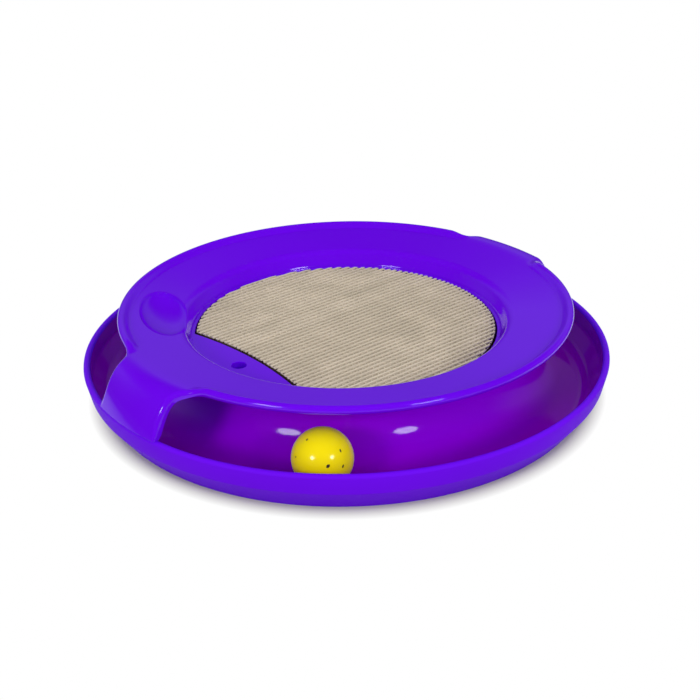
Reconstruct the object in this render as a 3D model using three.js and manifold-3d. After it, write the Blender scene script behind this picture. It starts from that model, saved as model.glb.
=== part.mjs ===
// Cat scratcher toy: a round ball track with a lift-off deck that holds a corrugated scratch pad.
// Millimetres, +Z up. The origin lies on the floor under the middle of the toy, and the deck's two
// arms lie along X. All radii and heights grow outward and upward from the pad, the ball and the track.

import * as THREE from 'three';
import { mergeVertices } from 'three/addons/utils/BufferGeometryUtils.js';
import Module from 'manifold-3d';

const wasm = await Module();
wasm.setup();

// Driving dimensions: clearances
const FIT_CLEARANCE = 0.3; // between moulded pieces that sit together
const PAD_CLEARANCE = 1.5; // shadow gap round the pad
const GLUE_LINE = 0.12; // between neighbouring strips
const SEAM_GAP = 0.1; // between the two halves of the ball

// Driving dimensions: scratch pad of cardboard strips standing on edge
const PAD_RADIUS = 108.1;
const PAD_THICKNESS = 20;
const PAD_PROUD = 1.3; // pad's top above the shelf round it
const STRIP_PITCH = 4.3; // one sheet of corrugated board with its glue
const BITE_DEPTH = 27.2; // how far the finger bite reaches into the disc
const BITE_RADIUS = 270;
const STRIP_END_STEPS = 3; // straight steps across the curved end of a strip

// Driving dimensions: base tray
const TRAY_WALL = 2.4;
const TRAY_UNDERSIDE = 0.8; // floor's underside above the table
const LEDGE_WIDTH = 6.6; // flat top of the pedestal that carries the deck
const NECK_HEIGHT = 1.7; // straight part of the pedestal under its flat top
const COVE_RADIUS = 36; // hollow curve from the pedestal into the track
const TRACK_FLAT = 12.2; // flat floor outside the track's middle line
const TRACK_FILLET = 14; // curve from the track's floor into its outer wall
const WALL_SLOPE = THREE.MathUtils.degToRad(53.4); // lower wall, from level
const FOOT_WIDTH = 4.8; // ring that the toy stands on
const BAND_BASE_HEIGHT = 16.7; // edge line round the outside
const BAND_FLARE = 2.8; // how far the band leans out above that line
const RIM_ROUND = 2.4; // radius of the rounded rim
const RIM_HEIGHT = 31.5;

// Driving dimensions: top deck
const DECK_WALL = 2.4;
const SHELF_WIDTH = 1.1;
const SHELF_THICKNESS = 2.2;
const SEAT_WIDTH = 3.9; // seat on the ledge, from the dish wall's foot outward
const DISH_WALL_SLOPE = THREE.MathUtils.degToRad(57); // straight wall from the shelf up to the shoulder
const SHOULDER_RADIUS = 8; // rounded shoulder between that wall and the ring
const SHOULDER_RISE = 11.79; // ring's inner edge above the shelf
const RING_WIDTH = 34.9;
const RING_RISE = 4.9;
const LIP_RADIUS = 3; // rounded bead round the deck's edge
const LIP_FOOT = 0.9; // bead's centre above the ring's outer edge
const LIP_WIDTH = 6.7; // from the ring's outer edge to the bead's outer side
const LIP_CURL = 60; // degrees that the bead curls under, past straight out

// Driving dimensions: the two arms that bridge the track
const ARM_HALF_WIDTH = 32.5;
const ARM_FILLET = 18; // plan fillet where an arm leaves the deck's edge
const ARM_ROOT_INSET = 4; // where an arm's curve starts, inside the ring's edge
const ARM_ROOT_OVERLAP = 8; // how far an arm's sheet runs on into the ring
const ARM_ROOT_PULL = 18; // how far the ring's slope carries on into the arm
const ARM_TIP_PULL = 34; // how far the tip's slope carries back up the arm
const ARM_TIP_SLOPE = THREE.MathUtils.degToRad(70);
const ARM_FLANGE_DEPTH = 5; // turned-down sides

// Driving dimensions: accessory socket in the crescent beside the pad
const SOCKET_RADIUS = 5.25;
const SOCKET_DEPTH = 8;
const SOCKET_INSET = 13.6; // from the well's wall to the socket's centre

// Driving dimensions: thumb scoop in the ring
const SCOOP_LENGTH = 73;
const SCOOP_WIDTH = 35.4;
const SCOOP_DEPTH = 8;
const SCOOP_ANGLE = THREE.MathUtils.degToRad(141.4);
const SCOOP_TURN = THREE.MathUtils.degToRad(10.4); // its long way, turned from the ring's
const SCOOP_INSET = 9.4; // from the shoulder's edge to the scoop's centre

// Driving dimensions: ball
const BALL_RADIUS = 20;
const BALL_WALL = 1.6;
const BALL_ANGLE = THREE.MathUtils.degToRad(224.4);
const RATTLE_RADIUS = 4;
const RATTLE_CLEARANCE = 0.5;

// Resolution
const RING_SIDES = 72;
const BITE_SIDES = 144;
const SOCKET_SIDES = 20;
const SCOOP_SIDES = 28;
const BALL_SIDES = 24;
const RATTLE_SIDES = 12;
const CURVE_STEPS = 8;
const ROUND_STEPS = 6;
const ARM_STEPS = 12;
const MERGE_DISTANCE = 1e-4;
const HEADROOM = 60; // cutting solids reach this far past what they cut

// Radii that follow
const wellRadius = PAD_RADIUS + PAD_CLEARANCE;
const tubRadius = wellRadius + DECK_WALL;
const stepRadius = wellRadius + SHELF_WIDTH;
const ringSlope = Math.atan2(RING_RISE, RING_WIDTH);
const dishWallRise = SHOULDER_RISE - SHOULDER_RADIUS * (Math.cos(ringSlope) - Math.cos(DISH_WALL_SLOPE));
const shoulderFoot = stepRadius + dishWallRise / Math.tan(DISH_WALL_SLOPE);
const shoulderCentre = shoulderFoot + SHOULDER_RADIUS * Math.sin(DISH_WALL_SLOPE);
const ringInner = shoulderCentre - SHOULDER_RADIUS * Math.sin(ringSlope);
const ringOuter = ringInner + RING_WIDTH;
const lipOuter = ringOuter + LIP_WIDTH;
const ledgeInner = tubRadius + FIT_CLEARANCE;
const neckRadius = ledgeInner + LEDGE_WIDTH;
const trackRadius = neckRadius + COVE_RADIUS;
const biteCentre = -(PAD_RADIUS - BITE_DEPTH + BITE_RADIUS);

// Heights that follow
const trackFloor = TRAY_UNDERSIDE + TRAY_WALL;
const ledgeHeight = trackFloor + COVE_RADIUS + NECK_HEIGHT;
const seatHeight = ledgeHeight + FIT_CLEARANCE;
const shelfHeight = seatHeight + SHELF_THICKNESS;
const padTop = shelfHeight + PAD_PROUD;
const padBottom = padTop - PAD_THICKNESS;
const wellFloor = padBottom - FIT_CLEARANCE;
const tubBottom = wellFloor - DECK_WALL;
const ringInnerHeight = shelfHeight + SHOULDER_RISE;
const shoulderCentreHeight = ringInnerHeight - SHOULDER_RADIUS * Math.cos(ringSlope);
const ringOuterHeight = ringInnerHeight + RING_RISE;

// Where an arm's curve leaves the ring's slope, and where its sheet starts inside the ring
const armRootRadius = ringOuter - ARM_ROOT_INSET;
const armSheetRadius = armRootRadius - ARM_ROOT_OVERLAP;

// Tray wall: the lower wall's inner line leaves the floor at the slope, with a fillet between them
const filletReach = TRACK_FILLET * Math.tan(WALL_SLOPE / 2);
const wallFootRadius = trackRadius + TRACK_FLAT + filletReach;
const footOuter = wallFootRadius + TRAY_WALL / Math.sin(WALL_SLOPE) - trackFloor / Math.tan(WALL_SLOPE);
const bandBaseRadius = footOuter + BAND_BASE_HEIGHT / Math.tan(WALL_SLOPE);
const rimRadius = bandBaseRadius + BAND_FLARE;
const rimCentreHeight = RIM_HEIGHT - RIM_ROUND;

// Materials
const purplePlastic = new THREE.MeshStandardMaterial({ color: 0x6405e2, roughness: 0.25, metalness: 0 });
const purpleTray = new THREE.MeshStandardMaterial({ color: 0x5c04d0, roughness: 0.28, metalness: 0 });
const cardboard = new THREE.MeshStandardMaterial({ color: 0xb5a998, roughness: 0.95, metalness: 0 });
const yellowPlastic = new THREE.MeshStandardMaterial({ color: 0xf6e20f, roughness: 0.35, metalness: 0 });
const rattlePlastic = new THREE.MeshStandardMaterial({ color: 0xd8d8d8, roughness: 0.5, metalness: 0 });

// Closed solid from a closed three.js geometry
function toSolid(geometry) {
  const bare = geometry.clone();
  bare.deleteAttribute('normal');
  bare.deleteAttribute('uv');
  const merged = mergeVertices(bare, MERGE_DISTANCE);
  const corners = merged.index.array;
  const kept = [];
  for (let i = 0; i < corners.length; i += 3) {
    const [a, b, c] = [corners[i], corners[i + 1], corners[i + 2]];
    if (a !== b && b !== c && c !== a) kept.push(a, b, c);
  }
  return new wasm.Manifold(new wasm.Mesh({
    numProp: 3,
    vertProperties: new Float32Array(merged.attributes.position.array),
    triVerts: new Uint32Array(kept),
  }));
}

// Geometry from a finished solid
function toGeometry(solid) {
  const mesh = solid.getMesh();
  const geometry = new THREE.BufferGeometry();
  geometry.setAttribute('position', new THREE.BufferAttribute(mesh.vertProperties, 3));
  geometry.setIndex(new THREE.BufferAttribute(mesh.triVerts, 1));
  geometry.computeVertexNormals();
  return geometry;
}

// Point of a profile: distance from the axis and height
function at(radius, height) {
  return new THREE.Vector2(radius, height);
}

// Points along an arc of a profile, angles in degrees from straight out, turning upward
function arc(radius, height, reachOut, reachUp, from, to, steps = CURVE_STEPS) {
  const points = [];
  for (let i = 0; i <= steps; i += 1) {
    const angle = THREE.MathUtils.degToRad(from + ((to - from) * i) / steps);
    points.push(at(radius + reachOut * Math.cos(angle), height + reachUp * Math.sin(angle)));
  }
  return points;
}

// Solid turned about Z from a profile that runs up its outer side
function turned(profile, sides = RING_SIDES) {
  return toSolid(new THREE.LatheGeometry(profile, sides).rotateX(Math.PI / 2));
}

// Upright cylinder between two heights
function column(radius, bottom, top, x = 0, sides = RING_SIDES) {
  const geometry = new THREE.CylinderGeometry(radius, radius, top - bottom, sides);
  geometry.rotateX(Math.PI / 2).translate(x, 0, (bottom + top) / 2);
  return toSolid(geometry);
}

// Upright prism of a plan outline between two heights
function prism(outline, bottom, top) {
  const geometry = new THREE.ExtrudeGeometry(outline, {
    depth: top - bottom,
    bevelEnabled: false,
    curveSegments: CURVE_STEPS,
  });
  return toSolid(geometry.translate(0, 0, bottom));
}

// Height of the ring's sloping top at a radius
function ringTop(radius) {
  return ringInnerHeight + (radius - ringInner) * Math.tan(ringSlope);
}

// Base tray: pedestal with a flat ledge, short neck, hollow cove, track floor, sloping wall and rounded rim
function makeTray() {
  const coveCentre = trackFloor + COVE_RADIUS;
  const filletCentre = trackFloor + TRACK_FILLET;
  const filletEnd = THREE.MathUtils.radToDeg(WALL_SLOPE) - 90;
  const underRadius = COVE_RADIUS + TRAY_WALL;
  const underStart = 180 + THREE.MathUtils.radToDeg(Math.asin((TRAY_WALL - NECK_HEIGHT) / underRadius));
  const underCove = arc(trackRadius, coveCentre, underRadius, underRadius, underStart, 270);
  const rim = arc(rimRadius - RIM_ROUND, rimCentreHeight, RIM_ROUND, RIM_ROUND, 0, 180, ROUND_STEPS);
  const filletRadius = trackRadius + TRACK_FLAT;
  const fillet = arc(filletRadius, filletCentre, TRACK_FILLET, TRACK_FILLET, filletEnd, -90, ROUND_STEPS);
  const cove = arc(trackRadius, coveCentre, COVE_RADIUS, COVE_RADIUS, 270, 180);
  const bandInner = at(bandBaseRadius - TRAY_WALL, BAND_BASE_HEIGHT + TRAY_WALL / 2);
  const profile = [
    at(ledgeInner, ledgeHeight - TRAY_WALL),
    ...underCove,
    at(footOuter - FOOT_WIDTH, TRAY_UNDERSIDE),
    at(footOuter - FOOT_WIDTH, 0),
    at(footOuter, 0),
    at(bandBaseRadius, BAND_BASE_HEIGHT),
    ...rim,
    bandInner,
    ...fillet,
    ...cove,
    at(neckRadius, ledgeHeight),
    at(ledgeInner, ledgeHeight),
    at(ledgeInner, ledgeHeight - TRAY_WALL),
  ];
  return turned(profile);
}

// Pad-shaped column: a disc with the finger bite taken out, grown by a margin all round
function padColumn(margin, bottom, top) {
  const disc = column(PAD_RADIUS + margin, bottom, top);
  const bite = column(BITE_RADIUS - margin, bottom - HEADROOM, top + HEADROOM, biteCentre, BITE_SIDES);
  return disc.subtract(bite);
}

// Rounded shoulder of the ring, sunk by a depth, from the ring's slope down to the dish wall's
function shoulderArc(depth) {
  const radius = SHOULDER_RADIUS - depth;
  const start = 90 + THREE.MathUtils.radToDeg(ringSlope);
  const end = 90 + THREE.MathUtils.radToDeg(DISH_WALL_SLOPE);
  return arc(shoulderCentre, shoulderCentreHeight, radius, radius, start, end, ROUND_STEPS);
}

// Dished ring with its bead, rounded shoulder, dish wall and the shelf plate inside it
function makeRing() {
  const drop = DECK_WALL / Math.cos(ringSlope);
  const lipCentre = lipOuter - LIP_RADIUS;
  const lipCentreHeight = ringOuterHeight + LIP_FOOT;
  const bead = arc(lipCentre, lipCentreHeight, LIP_RADIUS, LIP_RADIUS, -LIP_CURL, 180);
  const profile = [
    at(0, seatHeight),
    at(stepRadius + SEAT_WIDTH, seatHeight),
    ...shoulderArc(DECK_WALL).reverse(),
    at(ringOuter, ringOuterHeight - drop),
    ...bead,
    at(ringOuter, ringOuterHeight),
    ...shoulderArc(0),
    at(stepRadius, shelfHeight),
    at(0, shelfHeight),
  ];
  return turned(profile);
}

// Plan outline of the arm along +X, drawn in from its sides by an inset
function armOutline(inset, innerEnd, outerEnd) {
  const half = ARM_HALF_WIDTH - inset;
  const fillet = ARM_FILLET + inset;
  const centreY = ARM_HALF_WIDTH + ARM_FILLET;
  const centreX = Math.sqrt((lipOuter + ARM_FILLET) ** 2 - centreY ** 2);
  const rootAngle = Math.PI + Math.atan2(centreY, centreX);
  const rootY = centreY + fillet * Math.sin(rootAngle);
  const outline = new THREE.Shape();
  outline.moveTo(innerEnd, rootY);
  outline.lineTo(innerEnd, -rootY);
  outline.absarc(centreX, -centreY, fillet, 2 * Math.PI - rootAngle, Math.PI / 2, true);
  outline.lineTo(outerEnd, -half);
  outline.lineTo(outerEnd, half);
  outline.absarc(centreX, centreY, fillet, 1.5 * Math.PI, rootAngle, true);
  outline.closePath();
  return outline;
}

// Top line of an arm along its radius, from inside the ring's edge down to its tip, flush with the rim it rests on
function armTopLine() {
  const root = at(armRootRadius, ringTop(armRootRadius));
  const tip = at(rimRadius, RIM_HEIGHT + FIT_CLEARANCE);
  const rootPull = at(Math.cos(ringSlope), Math.sin(ringSlope)).multiplyScalar(ARM_ROOT_PULL);
  const tipPull = at(-Math.cos(ARM_TIP_SLOPE), Math.sin(ARM_TIP_SLOPE)).multiplyScalar(ARM_TIP_PULL);
  return new THREE.CubicBezierCurve(root, root.clone().add(rootPull), tip.clone().add(tipPull), tip);
}

// Turned shell under the arm's top line, as thick as asked, measured square to the line
function armShell(thickness) {
  const line = armTopLine();
  const top = [];
  const under = [];
  for (let i = 0; i <= ARM_STEPS; i += 1) {
    const point = line.getPoint(i / ARM_STEPS);
    const along = line.getTangent(i / ARM_STEPS);
    top.push(point);
    under.push(at(point.x + along.y * thickness, point.y - along.x * thickness));
  }
  under[ARM_STEPS].y = top[ARM_STEPS].y;
  const startTop = at(armSheetRadius, ringTop(armSheetRadius));
  const start = at(armSheetRadius, startTop.y - thickness / Math.cos(ringSlope));
  return turned([start, ...under, ...top.reverse(), startTop, start]);
}

// Both arms: a bridging shell with turned-down sides
function makeArms() {
  const outerEnd = rimRadius + HEADROOM;
  const plan = prism(armOutline(0, 0, outerEnd), 0, 2 * HEADROOM);
  const inside = prism(armOutline(DECK_WALL, -HEADROOM, outerEnd + HEADROOM), 0, 2 * HEADROOM);
  const sheet = armShell(DECK_WALL).intersect(plan);
  const edge = plan.subtract(inside).subtract(column(ringOuter, -HEADROOM, 3 * HEADROOM));
  const sides = armShell(ARM_FLANGE_DEPTH).intersect(edge);
  const arm = sheet.add(sides);
  return arm.add(arm.rotate([0, 0, 180]));
}

// Space over both arms that the ring's bead leaves free
function makeArmGap() {
  const plan = prism(armOutline(0, 0, rimRadius + HEADROOM), 0, 2 * HEADROOM);
  const gap = plan.subtract(column(armRootRadius, -HEADROOM, 3 * HEADROOM));
  return gap.add(gap.rotate([0, 0, 180]));
}

// Oval ball shape lying in the ring's slope, grown by a margin all round
function scoopSolid(margin) {
  const geometry = new THREE.SphereGeometry(1, SCOOP_SIDES, SCOOP_SIDES / 2);
  geometry.scale(SCOOP_WIDTH / 2 + margin, SCOOP_LENGTH / 2 + margin, SCOOP_DEPTH + margin);
  geometry.rotateZ(SCOOP_TURN).rotateY(-ringSlope);
  const radius = ringInner + SCOOP_INSET;
  geometry.translate(radius, 0, ringTop(radius));
  return toSolid(geometry.rotateZ(SCOOP_ANGLE));
}

// Space under the ring and its shoulder that the scoop's shell hangs in
function underRing() {
  const bottom = seatHeight - HEADROOM;
  return turned([
    at(stepRadius, bottom),
    at(ringOuter, bottom),
    at(ringOuter, ringOuterHeight),
    ...shoulderArc(0),
    at(stepRadius, shelfHeight),
    at(stepRadius, bottom),
  ]);
}

// Top deck: ring, arms, well for the pad, accessory socket and thumb scoop in one moulding
function makeDeck() {
  const overlap = SHELF_THICKNESS / 2;
  const socketX = -(wellRadius - SOCKET_INSET);
  const socketFloor = shelfHeight - SOCKET_DEPTH;
  const tub = padColumn(PAD_CLEARANCE + DECK_WALL, tubBottom, seatHeight + overlap);
  const well = padColumn(PAD_CLEARANCE, wellFloor, shelfHeight + HEADROOM);
  const bossBottom = socketFloor - DECK_WALL;
  const boss = column(SOCKET_RADIUS + DECK_WALL, bossBottom, seatHeight + overlap, socketX, SOCKET_SIDES);
  const socket = column(SOCKET_RADIUS, socketFloor, shelfHeight + HEADROOM, socketX, SOCKET_SIDES);
  return makeRing()
    .subtract(makeArmGap())
    .add(makeArms())
    .add(scoopSolid(DECK_WALL).intersect(underRing()))
    .subtract(scoopSolid(0))
    .add(tub)
    .subtract(well)
    .add(boss)
    .subtract(socket);
}

// Ends of the pad along X at a distance from its middle line
function padEnds(y) {
  const rim = Math.sqrt(PAD_RADIUS ** 2 - y ** 2);
  const bite = biteCentre + Math.sqrt(BITE_RADIUS ** 2 - y ** 2);
  return [Math.max(-rim, bite), rim];
}

// One strip of corrugated board on edge, with its ends cut to the pad's outline
function makeStrip(middle) {
  const near = middle - (STRIP_PITCH - GLUE_LINE) / 2;
  const far = middle + (STRIP_PITCH - GLUE_LINE) / 2;
  const left = [];
  const right = [];
  for (let i = 0; i <= STRIP_END_STEPS; i += 1) {
    const y = THREE.MathUtils.lerp(near, far, i / STRIP_END_STEPS);
    const [start, end] = padEnds(y);
    left.push(at(start, y));
    right.push(at(end, y));
  }
  const outline = new THREE.Shape([...right, ...left.reverse()]);
  const geometry = new THREE.ExtrudeGeometry(outline, { depth: PAD_THICKNESS, bevelEnabled: false });
  return toSolid(geometry.translate(0, 0, padBottom));
}

// Half of the hollow ball, open downward, with its seam at the middle
function makeBallHalf() {
  const seam = SEAM_GAP / 2;
  const inner = BALL_RADIUS - BALL_WALL;
  const innerFoot = Math.sqrt(inner ** 2 - seam ** 2);
  const outerFoot = Math.sqrt(BALL_RADIUS ** 2 - seam ** 2);
  const innerStart = THREE.MathUtils.radToDeg(Math.atan2(seam, innerFoot));
  const outerStart = THREE.MathUtils.radToDeg(Math.atan2(seam, outerFoot));
  const innerArc = arc(0, 0, inner, inner, 90, innerStart, ROUND_STEPS);
  const outerArc = arc(0, 0, BALL_RADIUS, BALL_RADIUS, outerStart, 90, CURVE_STEPS);
  innerArc[0].x = 0;
  outerArc[outerArc.length - 1].x = 0;
  return turned([...innerArc, ...outerArc], BALL_SIDES);
}

const toy = new THREE.Group();

// Adds a named piece to a group
function addPiece(parent, name, solid, material) {
  const mesh = new THREE.Mesh(toGeometry(solid), material);
  mesh.name = name;
  parent.add(mesh);
  return mesh;
}

addPiece(toy, 'base_tray', makeTray(), purpleTray);
addPiece(toy, 'top_deck', makeDeck(), purplePlastic);

// Strips side by side across the pad, as many as fit its width
const stripCount = Math.floor((2 * PAD_RADIUS) / STRIP_PITCH);
for (let i = 0; i < stripCount; i += 1) {
  const middle = (i - (stripCount - 1) / 2) * STRIP_PITCH;
  const name = `pad_strip_${String(i + 1).padStart(2, '0')}`;
  addPiece(toy, name, makeStrip(middle), cardboard);
}

// Ball resting in the track, with a loose bead lying in its hollow
const ball = new THREE.Group();
const ballHeight = trackFloor + FIT_CLEARANCE + BALL_RADIUS;
ball.position.set(trackRadius * Math.cos(BALL_ANGLE), trackRadius * Math.sin(BALL_ANGLE), ballHeight);
addPiece(ball, 'ball_upper_half', makeBallHalf(), yellowPlastic);
addPiece(ball, 'ball_lower_half', makeBallHalf(), yellowPlastic).rotation.x = Math.PI;
const rattle = toSolid(new THREE.SphereGeometry(RATTLE_RADIUS, RATTLE_SIDES, CURVE_STEPS));
const rattleDrop = BALL_RADIUS - BALL_WALL - RATTLE_RADIUS - RATTLE_CLEARANCE;
addPiece(ball, 'ball_rattle', rattle, rattlePlastic).position.z = -rattleDrop;
toy.add(ball);

export default toy;
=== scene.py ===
from math import asin, atan2, cos, pi, radians, sin, sqrt, tan

import bmesh
import bpy
import numpy as np
from bpy.props import FloatProperty, FloatVectorProperty, IntProperty, PointerProperty
from mathutils import Matrix, Quaternion, Vector
from mathutils.geometry import delaunay_2d_cdt


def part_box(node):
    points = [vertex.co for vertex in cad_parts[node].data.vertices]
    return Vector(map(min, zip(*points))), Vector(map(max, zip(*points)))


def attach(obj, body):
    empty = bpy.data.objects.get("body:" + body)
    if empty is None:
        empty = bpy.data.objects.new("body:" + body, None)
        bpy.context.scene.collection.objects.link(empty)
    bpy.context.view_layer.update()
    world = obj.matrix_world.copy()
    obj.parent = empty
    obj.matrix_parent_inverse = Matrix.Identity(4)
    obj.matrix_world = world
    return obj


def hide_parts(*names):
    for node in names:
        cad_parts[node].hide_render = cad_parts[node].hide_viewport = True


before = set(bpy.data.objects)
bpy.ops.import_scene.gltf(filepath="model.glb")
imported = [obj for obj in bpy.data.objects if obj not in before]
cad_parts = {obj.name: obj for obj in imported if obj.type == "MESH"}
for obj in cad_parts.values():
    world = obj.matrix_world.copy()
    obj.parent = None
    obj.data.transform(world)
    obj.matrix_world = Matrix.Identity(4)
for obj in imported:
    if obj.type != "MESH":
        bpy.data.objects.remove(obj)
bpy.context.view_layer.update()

bl_info = {
    "name": "Cat Ball Track",
    "version": (1, 0, 0),
    "blender": (4, 5, 0),
    "location": "View3D > Sidebar > Cat Toy",
    "description": "Builds the finished look of a round cat toy with a ball track and a scratch pad",
    "category": "Object",
}

MM = 0.001
WHITE = (1, 1, 1, 1)
STRIP_NODES = sorted(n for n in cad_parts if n.startswith("pad_strip_"))

# Rows of points on the deck's top: inward from its edge, outward from the foot of the dish's wall, from the well and
# from the ring's inner edge, and round the scoop's middle as shares of the way to its rim
EDGE_ROWS = np.array([0.12, 0.35, 0.7, 1.1, 1.6, 2.2, 2.9, 3.6, 4.4, 5.2, 6.0, 6.9, 7.9, 8.9]) * MM
STEP_ROWS = np.array([-0.2, 0.2, 0.45, 0.65, 0.8, 0.95, 1.1, 1.25, 1.4, 1.55, 1.75, 2.0, 2.4, 3.0, 3.9]) * MM
SHELF_ROWS = np.array([0.12, 0.3, 0.55]) * MM
RING_ROWS = np.array([0.7, 1.8]) * MM
SCOOP_ROWS = (
    1.13, 1.08, 1.045, 1.022, 1.008, 0.996, 0.984, 0.968, 0.945, 0.91, 0.87, 0.82, 0.75, 0.66, 0.55, 0.42, 0.28, 0.14,
)

# Rows of points on the deck's underside, inward from its edge
UNDER_ROWS = np.array([0.5, 1.0, 1.5, 2.3, 2.5, 4.0, 6.7, 9.0]) * MM

# Points along a quarter of the deck's edge: half an arm's tip, its side, its fillet and the ring
TIP_STEPS, SIDE_STEPS, FILLET_STEPS, RIM_STEPS = 15, 7, 21, 64

# Points round the well's wall, along its bite, round the socket and along an arm, and rows across an arm
WELL_STEPS, BITE_STEPS, SOCKET_SIDES, ARM_STEPS, ARM_ROWS = 300, 56, 40, 240, 27

# Points round a row on the dish's wall, the ring, the arms, the scoop's rim and the underside
WALL_TURN, RING_TURN, ARM_TURN, SCOOP_TURN, UNDER_TURN = 300, 200, 260, 240, 150

# Shares between which the scoop's rim is looked for, halvings of that, and the share that other rows keep from it
SCOOP_SEARCH, HALVINGS, SCOOP_CLEARANCE = (0.3, 1.2), 40, 1.17

# Corners of the deck's socket, well and shelf, and how far the edge of its underside is lowered
SOCKET_CORNER, WELL_CORNER, SHELF_CORNER, EDGE_DROP = 0.4 * MM, 1 * MM, 0.5 * MM, 0.2 * MM

# End of the bead's crest in radii of the bead, and the share of an arm's side that its rounded edge may take
CREST_END, EDGE_SHARE = 1.5, 0.7

# Points that are measured at a time
CHUNK = 400

# Steps from the ball's seam to its pole, outside and inside
OUTSIDE_STEPS, INSIDE_STEPS = 33, 17

# Floor: its reach in metres, how its glow in shiny surfaces fades, and where the shadow ends, by distance
FLOOR_REACH = 40.0
TABLE_FADE = (0.3, 0.8, 1.0, 0.05)
SHADOW_END = (0.1765, 0.1895, 0.0, 1.0)

# Wall behind the toy that shiny surfaces show: its brightness by the sine of the elevation, and its fall sideways
STUDIO = [(0.0, 0.04), (0.16, 0.1), (0.3, 0.19), (0.42, 0.24), (0.52, 0.07), (0.62, 0.0)]
WALL_SPREAD = (0.1, 0.5, 0.1, 1.0)

# Direction from the ball's middle to the camera
VIEW_SIDE = Vector((-0.573, -0.695, 0.434))

# Flecks on the ball's near side: direction from its middle, length and width in mm, and turn in degrees
FLECKS_IN_VIEW = [
    ((-0.54, 0.061, 0.839), 1.7, 1.2, 0),
    ((0.079, -0.81, 0.58), 2.3, 1.1, 90),
    ((-0.462, -0.848, 0.258), 2.6, 1.9, 20),
    ((0.016, -0.991, 0.13), 2.2, 1.2, 60),
    ((-0.931, 0.154, 0.331), 1.2, 0.9, 0),
]

# Other flecks: least angle between them, limit toward the camera, and spread of their lengths and shapes
FLECK_SPACING, FLECK_LIMIT, FLECK_LENGTHS, FLECK_SHAPES = 0.42, 0.1, (0.6, 1.25), (0.45, 0.8)


# Settings


def length(label, note, millimetres):
    """Size property in metres, given in millimetres."""
    return FloatProperty(
        name=label, description=note, default=millimetres * MM, unit="LENGTH", subtype="DISTANCE", precision=5
    )


def angle(label, note, degrees):
    """Angle property, given in degrees."""
    return FloatProperty(
        name=label, description=note, default=radians(degrees), unit="ROTATION", subtype="ANGLE", precision=3
    )


def number(label, note, value):
    """Plain number property."""
    return FloatProperty(name=label, description=note, default=value, precision=4)


def whole(label, note, value):
    """Whole number property."""
    return IntProperty(name=label, description=note, default=value)


def tint(label, note, *display):
    """Colour property from display values of 0 to 255, stored in linear light."""
    linear = [((c / 255 + 0.055) / 1.055) ** 2.4 if c > 10 else c / 255 / 12.92 for c in display]
    return FloatVectorProperty(
        name=label, description=note, default=linear, size=3, subtype="COLOR", min=0.0, max=1.0
    )


def spot(label, note, place):
    """Place property in metres."""
    return FloatVectorProperty(
        name=label, description=note, default=place, size=3, subtype="XYZ", unit="LENGTH", precision=3
    )


class TraySizes(bpy.types.PropertyGroup):
    """Sizes of the base tray's turned profile."""

    wall: length("Wall", "Thickness of the moulded wall", 2.4)
    underside: length("Underside", "Height of the floor's underside above the table", 0.8)
    ledge_inner: length("Ledge inner radius", "Inner radius of the ledge that carries the deck", 112.3)
    ledge_width: length("Ledge width", "Width of the ledge that carries the deck", 6.6)
    neck_height: length("Neck height", "Straight part of the pedestal under its ledge", 1.7)
    cove_radius: length("Cove radius", "Hollow curve from the pedestal into the track", 36.0)
    track_flat: length("Track flat", "Flat floor outside the track's middle line", 12.2)
    track_fillet: length("Track fillet", "Curve from the track's floor into its outer wall", 14.0)
    wall_slope: angle("Wall slope", "Slope of the lower wall, from level", 53.4)
    foot_width: length("Foot width", "Width of the ring that the toy stands on", 4.8)
    band_height: length("Band height", "Height of the edge line round the outside", 16.7)
    band_flare: length("Band flare", "How far the band leans out above its edge line", 2.8)
    rim_round: length("Rim round", "Radius of the rounded rim", 2.4)
    rim_height: length("Rim height", "Height of the rim above the table", 31.5)
    corner_round: length("Corner round", "Radius of the small rounded corners", 0.8)
    sides: whole("Sides", "Steps round the tray", 256)


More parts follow.
